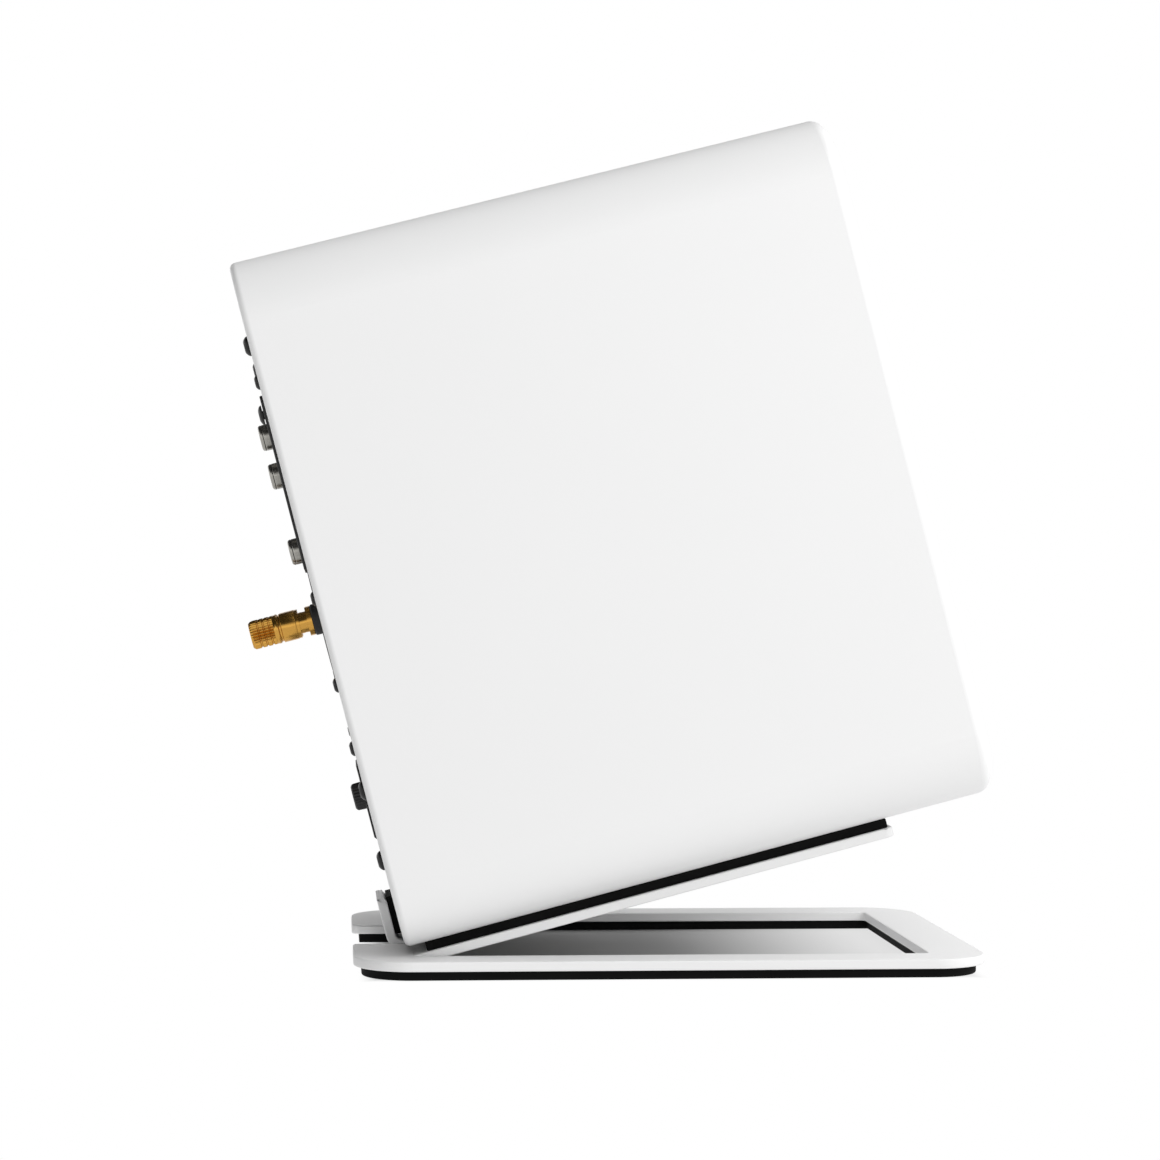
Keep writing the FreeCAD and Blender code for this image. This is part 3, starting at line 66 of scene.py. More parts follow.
# Each corner P of an open profile becomes the curve (1-t)^2 S + 2t(1-t) P + t^2 E, where S and E
# lie on the two sides at the given reach from P, or at most the given share of a short side.
def softened(profile, reach, steps=5, most=0.45):
    points = np.asarray(profile, float)
    sides = np.linalg.norm(np.diff(points, axis=0), axis=1)
    corner, before, after = points[1:-1], points[:-2], points[2:]
    cutBefore = np.minimum(reach / sides[:-1], most)[:, None]
    cutAfter = np.minimum(reach / sides[1:], most)[:, None]
    start = corner + (before - corner) * cutBefore
    end = corner + (after - corner) * cutAfter
    t = np.linspace(0, 1, steps)[None, :, None]
    arcs = (1 - t) ** 2 * start[:, None] + 2 * t * (1 - t) * corner[:, None] + t ** 2 * end[:, None]
    return np.vstack([points[:1], arcs.reshape(-1, 2), points[-1:]])


# point(s, t) = (along(s) + front, across + r cos t, above + r sin t), where r is radius(s) less
# ridge depth * (1 - cos(teeth t)) / 2 between two places along the axis
def turned(profile, across, above, front=0.0, count=96, ridges=None):
    along, radius = np.asarray(profile, float).T
    t = np.linspace(0, 2 * np.pi, count, endpoint=False)
    r = np.repeat(radius[:, None], count, axis=1)
    if ridges:
        inside = (along >= ridges["low"]) & (along <= ridges["high"])
        r = r - inside[:, None] * ridges["depth"] * (0.5 - 0.5 * np.cos(ridges["teeth"] * t))
    a = np.repeat((along + front)[:, None], count, axis=1)
    return np.stack([a, across + r * np.cos(t), above + r * np.sin(t)], -1)


# point = s * (half - radius) + radius * n for n on the unit sphere and s the signs of n, so that
# the eight corners are eighths of a ball and the flats lie between them
def roundedBlock(low, high, radius, steps=4):
    low, high = np.asarray(low, float), np.asarray(high, float)
    half = (high - low) / 2
    quarter = np.linspace(0, np.pi / 2, steps)
    turn = np.concatenate([quarter + n * np.pi / 2 for n in range(4)])
    signX = np.repeat([1, -1, -1, 1], steps)
    signY = np.repeat([1, 1, -1, -1], steps)
    rise = np.concatenate([quarter - np.pi / 2, quarter])
    signZ = np.repeat([-1, 1], steps)
    n = np.stack([np.cos(rise)[:, None] * np.cos(turn), np.cos(rise)[:, None] * np.sin(turn),
                  np.repeat(np.sin(rise)[:, None], len(turn), axis=1)], -1)
    s = np.stack([np.broadcast_to(signX, n.shape[:2]), np.broadcast_to(signY, n.shape[:2]),
                  np.broadcast_to(signZ[:, None], n.shape[:2])], -1)
    return (low + high) / 2 + s * (half - radius) + radius * n


# One mesh from grids of points (rows, columns, 3) in metres. Columns always close on themselves;
# rows close where a grid says so, and otherwise its first and last rows are filled.
def addPiece(name, grids, material, body, stands=(), sharp=35.0):
    mesh = bpy.data.meshes.new(name)
    vertices, faces, offset = [], [], 0
    for grid, rowsClose in grids:
        rows, columns = grid.shape[:2]
        index = np.arange(rows * columns).reshape(rows, columns) + offset
        nextRow = np.roll(index, -1, axis=0)
        nextColumn = np.roll(index, -1, axis=1)
        both = np.roll(nextRow, -1, axis=1)
        quads = np.stack([index, nextColumn, both, nextRow], -1)
        if not rowsClose:
            quads = quads[:-1]
            faces += [index[0][::-1].tolist(), index[-1].tolist()]
        faces += quads.reshape(-1, 4).tolist()
        vertices.append(grid.reshape(-1, 3))
        offset += rows * columns
    mesh.from_pydata(np.vstack(vertices), [], faces)
    work = bmesh.new()
    work.from_mesh(mesh)
    bmesh.ops.remove_doubles(work, verts=work.verts, dist=joinDistance)
    bmesh.ops.recalc_face_normals(work, faces=work.faces)
    work.to_mesh(mesh)
    work.free()
    mesh.polygons.foreach_set("use_smooth", np.ones(len(mesh.polygons), bool))
    mesh.set_sharp_from_angle(angle=math.radians(sharp))
    mesh.materials.append(material)
    piece = bpy.data.objects.new(name, mesh)
    bpy.context.scene.collection.objects.link(piece)
    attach(piece, body)
    if stands:
        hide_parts(*stands)
    return piece


# sRGB to linear: c / 12.92 below 0.04045, else ((c + 0.055) / 1.055) ^ 2.4
def colour(code):
    channels = [int(code[n:n + 2], 16) / 255 for n in (1, 3, 5)]
    linear = [c / 12.92 if c <= 0.04045 else ((c + 0.055) / 1.055) ** 2.4 for c in channels]
    return (*linear, 1)


def addNode(tree, kind, settings=None, inputs=None):
    node = tree.nodes.new(kind)
    for name, value in (settings or {}).items():
        setattr(node, name, value)
    for name, value in (inputs or {}).items():
        if isinstance(value, bpy.types.NodeSocket):
            tree.links.new(value, node.inputs[name])
        else:
            node.inputs[name].default_value = value
    return node


# A surface with a fine grain: noise of one size lifts it, and noise of another shifts its colour
# and roughness a little. Sizes are millimetres, and 1 / size gives the noise's scale.
def makeMaterial(name, base, roughness, metallic=0.0, grain=0.6, lift=0.01, patch=25.0, shift=0.03,
                 roughShift=0.05, stretch=(1, 1, 1), extra=None):
    material = bpy.data.materials.new(name)
    material.use_nodes = True
    tree = material.node_tree
    tree.nodes.clear()
    place = addNode(tree, "ShaderNodeTexCoord").outputs["Object"]
    stretched = addNode(tree, "ShaderNodeMapping", {"vector_type": "TEXTURE"}, {
        "Vector": place, "Rotation": (0, -math.radians(leaning["angle"]), 0), "Scale": stretch})
    fine = addNode(tree, "ShaderNodeTexNoise", inputs={
        "Vector": stretched.outputs[0], "Scale": 1 / (grain * mm), "Detail": noiseDetail["fine"]})
    broad = addNode(tree, "ShaderNodeTexNoise", inputs={
        "Vector": place, "Scale": 1 / (patch * mm), "Detail": noiseDetail["broad"]})
    tone = addNode(tree, "ShaderNodeMapRange", inputs={
        "Value": broad.outputs["Fac"], "To Min": 1 - shift, "To Max": 1.0})
    tinted = addNode(tree, "ShaderNodeVectorMath", {"operation": "SCALE"}, {
        0: colour(base)[:3], "Scale": tone.outputs[0]})
    rough = addNode(tree, "ShaderNodeMapRange", inputs={
        "Value": broad.outputs["Fac"], "To Min": roughness - roughShift,
        "To Max": roughness + roughShift})
    bump = addNode(tree, "ShaderNodeBump", inputs={
        "Height": fine.outputs["Fac"], "Strength": 1.0, "Distance": lift * mm})
    shader = addNode(tree, "ShaderNodeBsdfPrincipled", inputs={
        "Base Color": tinted.outputs[0], "Metallic": metallic, "Roughness": rough.outputs[0],
        "Normal": bump.outputs[0]})
    for name, value in (extra or {}).items():
        shader.inputs[name].default_value = value
    addNode(tree, "ShaderNodeOutputMaterial", inputs={"Surface": shader.outputs[0]})
    return material


view = dict(x=-91.064, y=-921.893, z=122.207, yaw=5.0005, pitch=0.0163, roll=0.3282,
            focal=2804.74, frame=1160, sensor=36.0,
            nearClip=0.01)


# forward = (sin yaw cos pitch, cos yaw cos pitch, sin pitch); right and up turn about it by roll
def makeCamera():
    yaw, pitch, roll = (math.radians(view[key]) for key in ("yaw", "pitch", "roll"))
    forward = Vector((math.sin(yaw) * math.cos(pitch), math.cos(yaw) * math.cos(pitch),
                      math.sin(pitch)))
    level = Vector((math.cos(yaw), -math.sin(yaw), 0))
    raised = level.cross(forward)
    right = level * math.cos(roll) + raised * math.sin(roll)
    up = raised * math.cos(roll) - level * math.sin(roll)
    data = bpy.data.cameras.new("camera")
    data.sensor_width = view["sensor"]
    data.lens = view["focal"] / view["frame"] * view["sensor"]
    data.clip_start = view["nearClip"]
    camera = bpy.data.objects.new("camera", data)
    place = Matrix((right, up, -forward)).transposed().to_4x4()
    place.translation = Vector((view["x"], view["y"], view["z"])) * mm
    camera.matrix_world = place
    bpy.context.scene.collection.objects.link(camera)
    bpy.context.scene.camera = camera


# The floor's grey tone under the stand is painted shade, and its ramp along X is painted light
studio = dict(floorSize=6000, floorPaintedShadeTone="#a2a2a2", floorRoughness=0.9, floorMiddle=14.4,
              floorPaintedLight=(12.0, 120.0), floorPaintedLightMost=0.8, floorHalf=(98.0, 69.0),
              floorBlend=14.0, floorBounce=0.95, sky=0.92, zenith=1.85, zenithFrom=0.2,
              darkSide=0.03, darkFrom=-0.8, darkTo=0.35, glossDark=0.05, glossBright=1.35,
              glossLow=0.1, glossHigh=0.5, keySize=600, keyPower=3.4,
              keyPlace=(640, -620, 560), keyAim=(0, 0, 130))


# White paper that glows evenly around the stand and has painted shade under it: a darker grey tone,
# paled towards +X by a painted light ramp. The distance out of the footprint is max(|x - middle| -
# half length, |y| - half width), and it blends to the even glow
def makeFloor():
    floor = bpy.data.meshes.new("floor")
    half = studio["floorSize"] / 2 * mm
    corners = np.array([(-half, -half, 0), (half, -half, 0), (half, half, 0), (-half, half, 0)])
    floor.from_pydata(corners, [], [(0, 1, 2, 3)])
    matt = bpy.data.materials.new("floorPaperWithPaintedShade")
    matt.use_nodes = True
    tree = matt.node_tree
    tree.nodes.clear()
    place = addNode(tree, "ShaderNodeTexCoord").outputs["Object"]
    centred = addNode(tree, "ShaderNodeVectorMath", {"operation": "SUBTRACT"}, {
        0: place, 1: (studio["floorMiddle"] * mm, 0, 0)})
    away = addNode(tree, "ShaderNodeVectorMath", {"operation": "ABSOLUTE"}, {
        0: centred.outputs[0]})
    past = addNode(tree, "ShaderNodeVectorMath", {"operation": "SUBTRACT"}, {
        0: away.outputs[0], 1: tuple(size * mm for size in studio["floorHalf"]) + (0,)})
    parts = addNode(tree, "ShaderNodeSeparateXYZ", inputs={"Vector": past.outputs[0]})
    farther = addNode(tree, "ShaderNodeMath", {"operation": "MAXIMUM"}, {
        0: parts.outputs["X"], 1: parts.outputs["Y"]})
    outside = addNode(tree, "ShaderNodeMapRange", {"interpolation_type": "SMOOTHSTEP"}, {
        "Value": farther.outputs[0], "From Min": -studio["floorBlend"] * mm, "From Max": 0.0})
    along = addNode(tree, "ShaderNodeSeparateXYZ", inputs={"Vector": place})
    # painted light: inside the footprint the painted shade is lifted by glow towards +X, up to the
    # given share
    paintedLightRamp = addNode(tree, "ShaderNodeMapRange", {"interpolation_type": "SMOOTHSTEP"}, {
        "Value": along.outputs["X"], "From Min": studio["floorPaintedLight"][0] * mm,
        "From Max": studio["floorPaintedLight"][1] * mm, "To Max": studio["floorPaintedLightMost"]})
    # share of glow over the painted shade: full outside the footprint, and the painted light ramp
    # inside it
    light = addNode(tree, "ShaderNodeMath", {"operation": "MAXIMUM"}, {
        0: outside.outputs[0], 1: paintedLightRamp.outputs[0]})
    # painted shade: under the stand the floor takes this darker grey tone instead of the glow
    shaded = addNode(tree, "ShaderNodeBsdfPrincipled", inputs={
        "Base Color": colour(studio["floorPaintedShadeTone"]), "Roughness": studio["floorRoughness"]})
    seen = addNode(tree, "ShaderNodeLightPath").outputs["Is Camera Ray"]
    glow = addNode(tree, "ShaderNodeMapRange", inputs={
        "Value": seen, "To Min": studio["floorBounce"], "To Max": 1.0})
    lit = addNode(tree, "ShaderNodeEmission", inputs={
        "Color": (1, 1, 1, 1), "Strength": glow.outputs[0]})
    mixed = addNode(tree, "ShaderNodeMixShader", inputs={
        0: light.outputs[0], 1: shaded.outputs[0], 2: lit.outputs[0]})
    addNode(tree, "ShaderNodeOutputMaterial", inputs={"Surface": mixed.outputs[0]})
    floor.materials.append(matt)
    piece = bpy.data.objects.new("floor", floor)
    bpy.context.scene.collection.objects.link(piece)


# Sky: light falls off smoothly towards -X and grows with height; polished parts see a bright
# band near the horizon under a dark ceiling; the camera sees plain white
def makeStudio():
    world = bpy.data.worlds.new("studio")
    bpy.context.scene.world = world
    world.use_nodes = True
    tree = world.node_tree
    tree.nodes.clear()
    direction = addNode(tree, "ShaderNodeTexCoord").outputs["Generated"]
    parts = addNode(tree, "ShaderNodeSeparateXYZ", inputs={"Vector": direction})
    side = addNode(tree, "ShaderNodeMapRange", {"interpolation_type": "SMOOTHSTEP"}, {
        "Value": parts.outputs["X"], "From Min": studio["darkFrom"], "From Max": studio["darkTo"],
        "To Min": studio["darkSide"], "To Max": studio["sky"]})
    height = addNode(tree, "ShaderNodeMapRange", inputs={
        "Value": parts.outputs["Z"], "From Min": studio["zenithFrom"], "From Max": 1.0,
        "To Min": 1.0, "To Max": studio["zenith"]})
    strength = addNode(tree, "ShaderNodeMath", {"operation": "MULTIPLY"}, {
        0: side.outputs[0], 1: height.outputs[0]})
    band = addNode(tree, "ShaderNodeMapRange", {"interpolation_type": "SMOOTHSTEP"}, {
        "Value": parts.outputs["Z"], "From Min": studio["glossLow"],
        "From Max": studio["glossHigh"], "To Min": studio["glossBright"],
        "To Max": studio["glossDark"]})
    rays = addNode(tree, "ShaderNodeLightPath").outputs
    lit = addNode(tree, "ShaderNodeBackground", inputs={
        "Color": (1, 1, 1, 1), "Strength": strength.outputs[0]})
    mirrored = addNode(tree, "ShaderNodeBackground", inputs={
        "Color": (1, 1, 1, 1), "Strength": band.outputs[0]})
    seen = addNode(tree, "ShaderNodeBackground", inputs={"Color": (1, 1, 1, 1), "Strength": 1.0})
    either = addNode(tree, "ShaderNodeMixShader", inputs={
        0: rays["Is Glossy Ray"], 1: lit.outputs[0], 2: mirrored.outputs[0]})
    mixed = addNode(tree, "ShaderNodeMixShader", inputs={
        0: rays["Is Camera Ray"], 1: either.outputs[0], 2: seen.outputs[0]})
    addNode(tree, "ShaderNodeOutputWorld", inputs={"Surface": mixed.outputs[0]})
    data = bpy.data.lights.new("key", "AREA")
    data.size = studio["keySize"] * mm
    data.energy = studio["keyPower"]
    lamp = bpy.data.objects.new("key", data)
    towards = (Vector(studio["keyAim"]) - Vector(studio["keyPlace"])).normalized()
    lamp.matrix_world = (Matrix.Translation(Vector(studio["keyPlace"]) * mm)
                         @ towards.to_track_quat("-Z", "Y").to_matrix().to_4x4())
    bpy.context.scene.collection.objects.link(lamp)


makeCamera()
makeFloor()
makeStudio()
bpy.context.scene.view_settings.view_transform = "Standard"
print("camera, floor and light made")


finishes = dict(
    # Polyester powder coat, sprayed and baked: an even satin white with a fine orange peel.
    powderCoat=makeMaterial("polyesterPowderCoat", "#e9e9e9", 0.5, grain=0.7, lift=0.012,
                            patch=40, shift=0.015),
    # Polyurethane lacquer over fibreboard: smoother than the stand.
    lacquer=makeMaterial("satinPolyurethaneLacquer", "#ececec", 0.46, grain=1.8, lift=0.01,
                         patch=60, shift=0.012, roughShift=0.03, extra={"Coat Weight": 0.15,
                                                                        "Coat Roughness": 0.3}),
    # Wet paint on an aluminium sheet: flat white, slightly grainy.
    panelPaint=makeMaterial("paintedAluminiumSheet", "#e4e4e4", 0.5, grain=0.4, lift=0.01,
                            patch=30, shift=0.02),
    # Nitrile rubber cut from sheet: matt black, faintly dusty.
    rubber=makeMaterial("nitrileRubberSheet", "#070707", 0.85, grain=0.35, lift=0.03, patch=12,
                        shift=0.35, roughShift=0.1, extra={"Specular IOR Level": 0.15}),
    # Butyl rubber pressed to a half roll: soft black with a dull sheen.
    butyl=makeMaterial("butylRubber", "#131314", 0.6, grain=0.5, lift=0.02, patch=15, shift=0.2,
                       extra={"Sheen Weight": 0.2, "Sheen Roughness": 0.5}),
    # ABS moulded in a spark-eroded tool: fine even stipple.
    abs=makeMaterial("mouldedBlackAbs", "#0f0f10", 0.5, grain=0.22, lift=0.02, patch=20,
                     shift=0.12),
    # Glass-filled nylon of sockets: a little greyer and rougher.
    nylon=makeMaterial("glassFilledNylon", "#121213", 0.6, grain=0.3, lift=0.02, patch=8,
                       shift=0.2),
    # White ABS of the dial: satin moulding.
    whiteAbs=makeMaterial("mouldedWhiteAbs", "#e8e8e8", 0.45, grain=0.25, lift=0.01, patch=15,
                          shift=0.02),
    # Turned brass, gold-plated: warm bright metal with fine rings left by the lathe.
    gold=makeMaterial("goldPlatedBrass", "#d3a04c", 0.22, metallic=1.0, grain=0.12, lift=0.006,
                      patch=3, shift=0.18, roughShift=0.08, stretch=(1, 40, 40)),
    # Turned brass, nickel-plated: cool grey bright metal with fine lathe rings.
    nickel=makeMaterial("nickelPlatedBrass", "#a5a39d", 0.26, metallic=1.0, grain=0.12,
                        lift=0.006, patch=3, shift=0.15, roughShift=0.08, stretch=(1, 40, 40)),
    # Steel screws blackened in oxide salts: near black, slightly oily gloss.
    blackSteel=makeMaterial("blackOxideSteel", "#0b0b0c", 0.42, metallic=0.3, grain=0.2,
                            lift=0.006, patch=2, shift=0.3, roughShift=0.1),
    # Steel plated with bright zinc: cool pale metal, a little cloudy.
    zincSteel=makeMaterial("zincPlatedSteel", "#a9adb0", 0.36, metallic=1.0, grain=0.4,
                           lift=0.005, patch=6, shift=0.15),
    # Paper pulp pressed to a cone: pale grey felted fibres.
    pulp=makeMaterial("pressedPaperPulp", "#a3a4a4", 0.85, grain=0.5, lift=0.05, patch=4,
                      shift=0.12, stretch=(1, 1, 3)),
    # Silk cloth coated with damping compound: tight weave, dull black.
    silk=makeMaterial("coatedSilkDome", "#1b1b1d", 0.55, grain=0.25, lift=0.03, patch=6,
                      shift=0.15, extra={"Sheen Weight": 0.3, "Sheen Roughness": 0.4}),
    # Closed-cell foam cut from sheet: matt near black with tiny pits.
    foam=makeMaterial("closedCellFoam", "#1c1c1d", 0.9, grain=0.6, lift=0.06, patch=5, shift=0.2),
    # Pressed and sintered ferrite: dull charcoal, dry to look at.
    ferrite=makeMaterial("sinteredFerrite", "#2a2a2c", 0.7, grain=0.4, lift=0.03, patch=8,
                         shift=0.2),
    # Enamelled copper wire laid in turns: reddish metal with fine lines round the coil.
    copper=makeMaterial("enamelledCopperWire", "#b0653a", 0.35, metallic=1.0, grain=0.3,
                        lift=0.03, patch=5, stretch=(1, 40, 40)),
    # Cotton cloth dipped in resin and pressed: dull amber weave.
    spiderCloth=makeMaterial("resinDippedCloth", "#a88547", 0.85, grain=0.5, lift=0.05, patch=6,
                             shift=0.15),
    # Epoxy glass board under solder resist: satin green.
    board=makeMaterial("epoxyGlassBoard", "#145c32", 0.45, grain=0.5, lift=0.01, patch=8,
                       shift=0.15),
    # Extruded aluminium, left bare: soft grey metal with faint draw lines.
    alloy=makeMaterial("extrudedAluminium", "#9d9fa2", 0.42, metallic=1.0, grain=0.3, lift=0.01,
                       patch=8, stretch=(20, 1, 20)),
    # Plastic sleeve shrunk on by heat: smooth dark blue-black gloss.
    sleeve=makeMaterial("heatShrunkSleeve", "#14161f", 0.3, grain=1.0, lift=0.01, patch=6),
    # Lacquered film wound on: shiny amber, slightly uneven.
    film=makeMaterial("lacquerFilmWrap", "#b89a44", 0.35, grain=2.0, lift=0.05, patch=10,
                      stretch=(1, 1, 12)),
    # Wool felt pressed to a sheet: very matt grey with loose fibres.
    felt=makeMaterial("pressedWoolFelt", "#5a5b5d", 0.95, grain=0.8, lift=0.2, patch=6,
                      shift=0.25),
    # Acrylic light pipe: clear with a pale green glow.
    lens=makeMaterial("acrylicLightPipe", "#bfeacb", 0.15, grain=1.0, lift=0.001, patch=5,
                      extra={"Emission Color": colour("#7dff9d"), "Emission Strength": 0.6}),
)
nodeFinish = dict(
    stand_plate="powderCoat", foot_pad="rubber", tray_pad="rubber", lip_pad="rubber",
    cabinet="lacquer", woofer_basket="abs", voice_coil="copper", spider="spiderCloth",
    magnet_top_plate="zincSteel", woofer_magnet="ferrite", pole_piece="zincSteel",
    tweeter_magnet="ferrite", driver_gaskets="foam", volume_encoder="zincSteel",
    volume_shaft="zincSteel", amplifier_plate="panelPaint", plate_gasket="foam",
    jack_bezel="abs", aux_socket="nylon", aux_nut="nickel", optical_socket="nylon",
    optical_flap="nylon", usb_socket="nickel", small_switches="nylon", select_slider="abs",
    pair_button="abs", level_control="nylon", mains_inlet="nylon", switch_frame="nylon",
    power_rocker="abs", near_post_washer="gold", far_post_washer="gold", post_stems="gold",
    post_insulators="nylon", amplifier_board="board",
    board_standoffs="nickel", board_screws="zincSteel", heat_sink="alloy", capacitors="sleeve",
    transformer="film", transformer_bolt="zincSteel", damping_felt="felt")
# Edges that are broken or moulded round, with their radius.
softEdges = dict(
    stand_plate=0.45, foot_pad=0.5, tray_pad=0.4, lip_pad=0.4, amplifier_plate=0.3, jack_bezel=0.3,
    optical_socket=0.2, optical_flap=0.1, usb_socket=0.1, select_slider=0.2, mains_inlet=0.4,
    switch_frame=0.3, power_rocker=0.35, woofer_basket=0.3)
edgeRounding = dict(segments=3, sharperThan=40)


def finishNodes():
    for name, finish in nodeFinish.items():
        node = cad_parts[name]
        node.data.materials.clear()
        node.data.materials.append(finishes[finish])
        if name in softEdges:
            weld = node.modifiers.new("weld", "WELD")
            weld.merge_threshold = joinDistance
            bevel = node.modifiers.new("bevel", "BEVEL")
            bevel.width = softEdges[name] * mm
            bevel.segments = edgeRounding["segments"]
            bevel.limit_method = "ANGLE"
            bevel.angle_limit = math.radians(edgeRounding["sharperThan"])
            bevel.use_clamp_overlap = False
            bevel.harden_normals = True


finishNodes()
print("frame nodes finished")


# Four places on a circle round (0, above), at 45 degrees
def onDiagonals(ring, above):
    return [(ring * x * diagonal, above + ring * z * diagonal) for x in (1, -1) for z in (1, -1)]


screws = dict(
    panel=dict(radius=3.15, height=2.0, shank=1.4, length=9.5, socket=1.3, socketDepth=1.0,
               spots=[(x, z) for x in (-51, 51) for z in (27.8, 50.2, 192)], seat=0.0, inward=1),
    trim=dict(radius=2.4, height=1.5, shank=1.4, length=9.5, socket=1.0, socketDepth=0.7,
              spots=[(x, z) for x in (-51, 51) for z in (63.6, 83.9, 111.5, 180.5)], seat=0.0,
              inward=1),
    earth=dict(radius=3.2, height=1.5, shank=1.4, length=9.0, socket=1.2, socketDepth=0.8,
               spots=[(-40, 171)], seat=-1.4, inward=1),
    woofer=dict(radius=3.2, height=1.7, shank=1.7, length=11.5, socket=1.5, socketDepth=1.2,
                spots=onDiagonals(ring=51.5, above=84), seat=188.0, inward=-1),
    tweeter=dict(radius=3.2, height=1.7, shank=1.7, length=11.5, socket=1.5, socketDepth=1.2,
                 spots=onDiagonals(ring=25, above=174), seat=188.0, inward=-1))
screwShape = dict(rows=9, around=48, domeStart=0.05, mouth=1.25, mouthMost=0.9, underside=0.1,
                  chamfer=0.02, drillPoint=0.2, socketCorner=1.1)


# A domed head turned about its axis: out = height sin q as r = radius cos q from the seat up to
# the driving socket, where the radius is r cos 30 / cos((t mod 60) - 30)
def screwGrids(size):
    c = screwShape
    out = -size["inward"]
    h, r, key = size["height"], size["radius"], size["socket"]
    q = np.linspace(c["domeStart"], math.acos(min(c["mouth"] * key / r, c["mouthMost"])), c["rows"])
    dome = np.stack([h * np.sin(q), r * np.cos(q)], -1)
    top = dome[-1, 0]
    floor = top - size["socketDepth"]
    rows = np.vstack([
        [(-size["length"], 0), (-size["length"], size["shank"]), (0, size["shank"]),
         (0, r - c["underside"])],
        dome, [(top - c["chamfer"], key), (floor, key), (floor - c["drillPoint"], 0)]])
    socket = np.zeros(len(rows), bool)
    socket[-3:-1] = True
    t = np.linspace(0, 2 * np.pi, c["around"], endpoint=False)
    six = np.cos(np.pi / 6) / np.cos((t % (np.pi / 3)) - np.pi / 6)
    radius = rows[:, 1][:, None] * np.where(socket[:, None], six[None] * c["socketCorner"], 1.0)
    grids = []
    for across, above in size["spots"]:
        along = np.repeat((size["seat"] + out * rows[:, 0])[:, None], len(t), axis=1)
        grid = np.stack([along, across + radius * np.cos(t), above + radius * np.sin(t)], -1)
        grids.append((leaned(grid), False))
    return grids


for kind, body in (("panel", "loudspeaker"), ("trim", "loudspeaker"), ("earth", "earth")):
    stands = kind + ("_screw" if kind == "earth" else "_screws")
    addPiece(kind + "ScrewHeads", screwGrids(screws[kind]), finishes["blackSteel"], body,
             (stands,))
addPiece("driverScrewHeads", screwGrids(screws["woofer"]) + screwGrids(screws["tweeter"]),
         finishes["blackSteel"], "loudspeaker", ("driver_screws",))
print("screws made")


post = dict(above=105.0, nearAcross=-30.0, farAcross=-11.0, stem=3.36, skirt=4.6, cap=4.5,
            start=8.0, groove=13.2, grooveDepth=0.45, knurlStart=14.3, knurlEnd=22.0, end=22.7,
            mouth=2.25, wall=1.4, teeth=30, toothDepth=0.42, rings=(16.3, 18.1, 19.9),
            ringDepth=0.4, ringWidth=0.32, grooveHalf=0.5, grooveFloor=0.3, collarRise=0.25,
            collarWidth=0.8, gripEase=0.2, mouthEdge=0.05, mouthChamfer=0.6, edge=0.12,
            gripGap=0.01, ridgeReach=0.005)


# A cap turned from rod: skirt, groove, collar and a straight-knurled grip cut by rings, hollow
def makePostCap(name, across, body, stands):
    p = post
    bottom = p["skirt"] - p["grooveDepth"]
    outside = softened([
        (-p["start"], p["stem"]), (-p["start"], p["skirt"]),
        (-p["groove"] + p["grooveHalf"], p["skirt"]), (-p["groove"] + p["grooveFloor"], bottom),
        (-p["groove"] - p["grooveFloor"], bottom), (-p["groove"] - p["grooveHalf"], p["skirt"]),
        (-p["knurlStart"], p["skirt"]), (-p["knurlStart"] - p["collarRise"], p["cap"]),
        (-p["knurlStart"] - p["collarWidth"], p["cap"])], p["edge"], 4)
    gripStart = -p["knurlStart"] - p["collarWidth"] - p["gripGap"]
    grip = [(gripStart, p["cap"])]
    for ring in p["rings"]:
        width, bottom = p["ringWidth"], p["cap"] - p["ringDepth"]
        grip += [(-ring + width, p["cap"]), (-ring + width / 2, bottom),
                 (-ring - width / 2, bottom), (-ring - width, p["cap"])]
    grip = np.array(grip + [(-p["knurlEnd"] + p["gripEase"], p["cap"])])
    inside = -p["end"] + p["wall"]
    mouth = softened([
        (-p["knurlEnd"], p["cap"] - p["mouthEdge"]), (-p["end"], p["cap"] - p["mouthChamfer"]),
        (-p["end"], p["mouth"]), (inside, p["mouth"]), (inside, p["stem"])], p["edge"], 4)
    grid = turned(np.vstack([outside, grip, mouth]), across, p["above"],
                  count=p["teeth"] * facets["postTooth"],
                  ridges=dict(low=-p["knurlEnd"], high=gripStart + p["ridgeReach"],
                              depth=p["toothDepth"], teeth=p["teeth"]))
    addPiece(name, [(leaned(grid), True)], finishes["gold"], body, stands)


makePostCap("nearTerminalCap", post["nearAcross"], "near_cap", ("near_post_cap",))
makePostCap("farTerminalCap", post["farAcross"], "far_cap", ("far_post_cap",))
print("screw terminals made")


jack = dict(across=-30.0, spots=(164.6, 152.0, 127.4), radius=4.15, tail=3.75, reach=4.3, well=5.0,
            depth=12.0, insert=3.3, pinHole=1.6, holeDepth=9.0, bandAt=1.2, bandHalf=0.2,
            bandDepth=0.15, lipStart=0.9, lipMiddle=0.25, lipDrop=0.75, fit=0.02, sunk=0.5,
            edge=0.25, insertEdge=0.3)


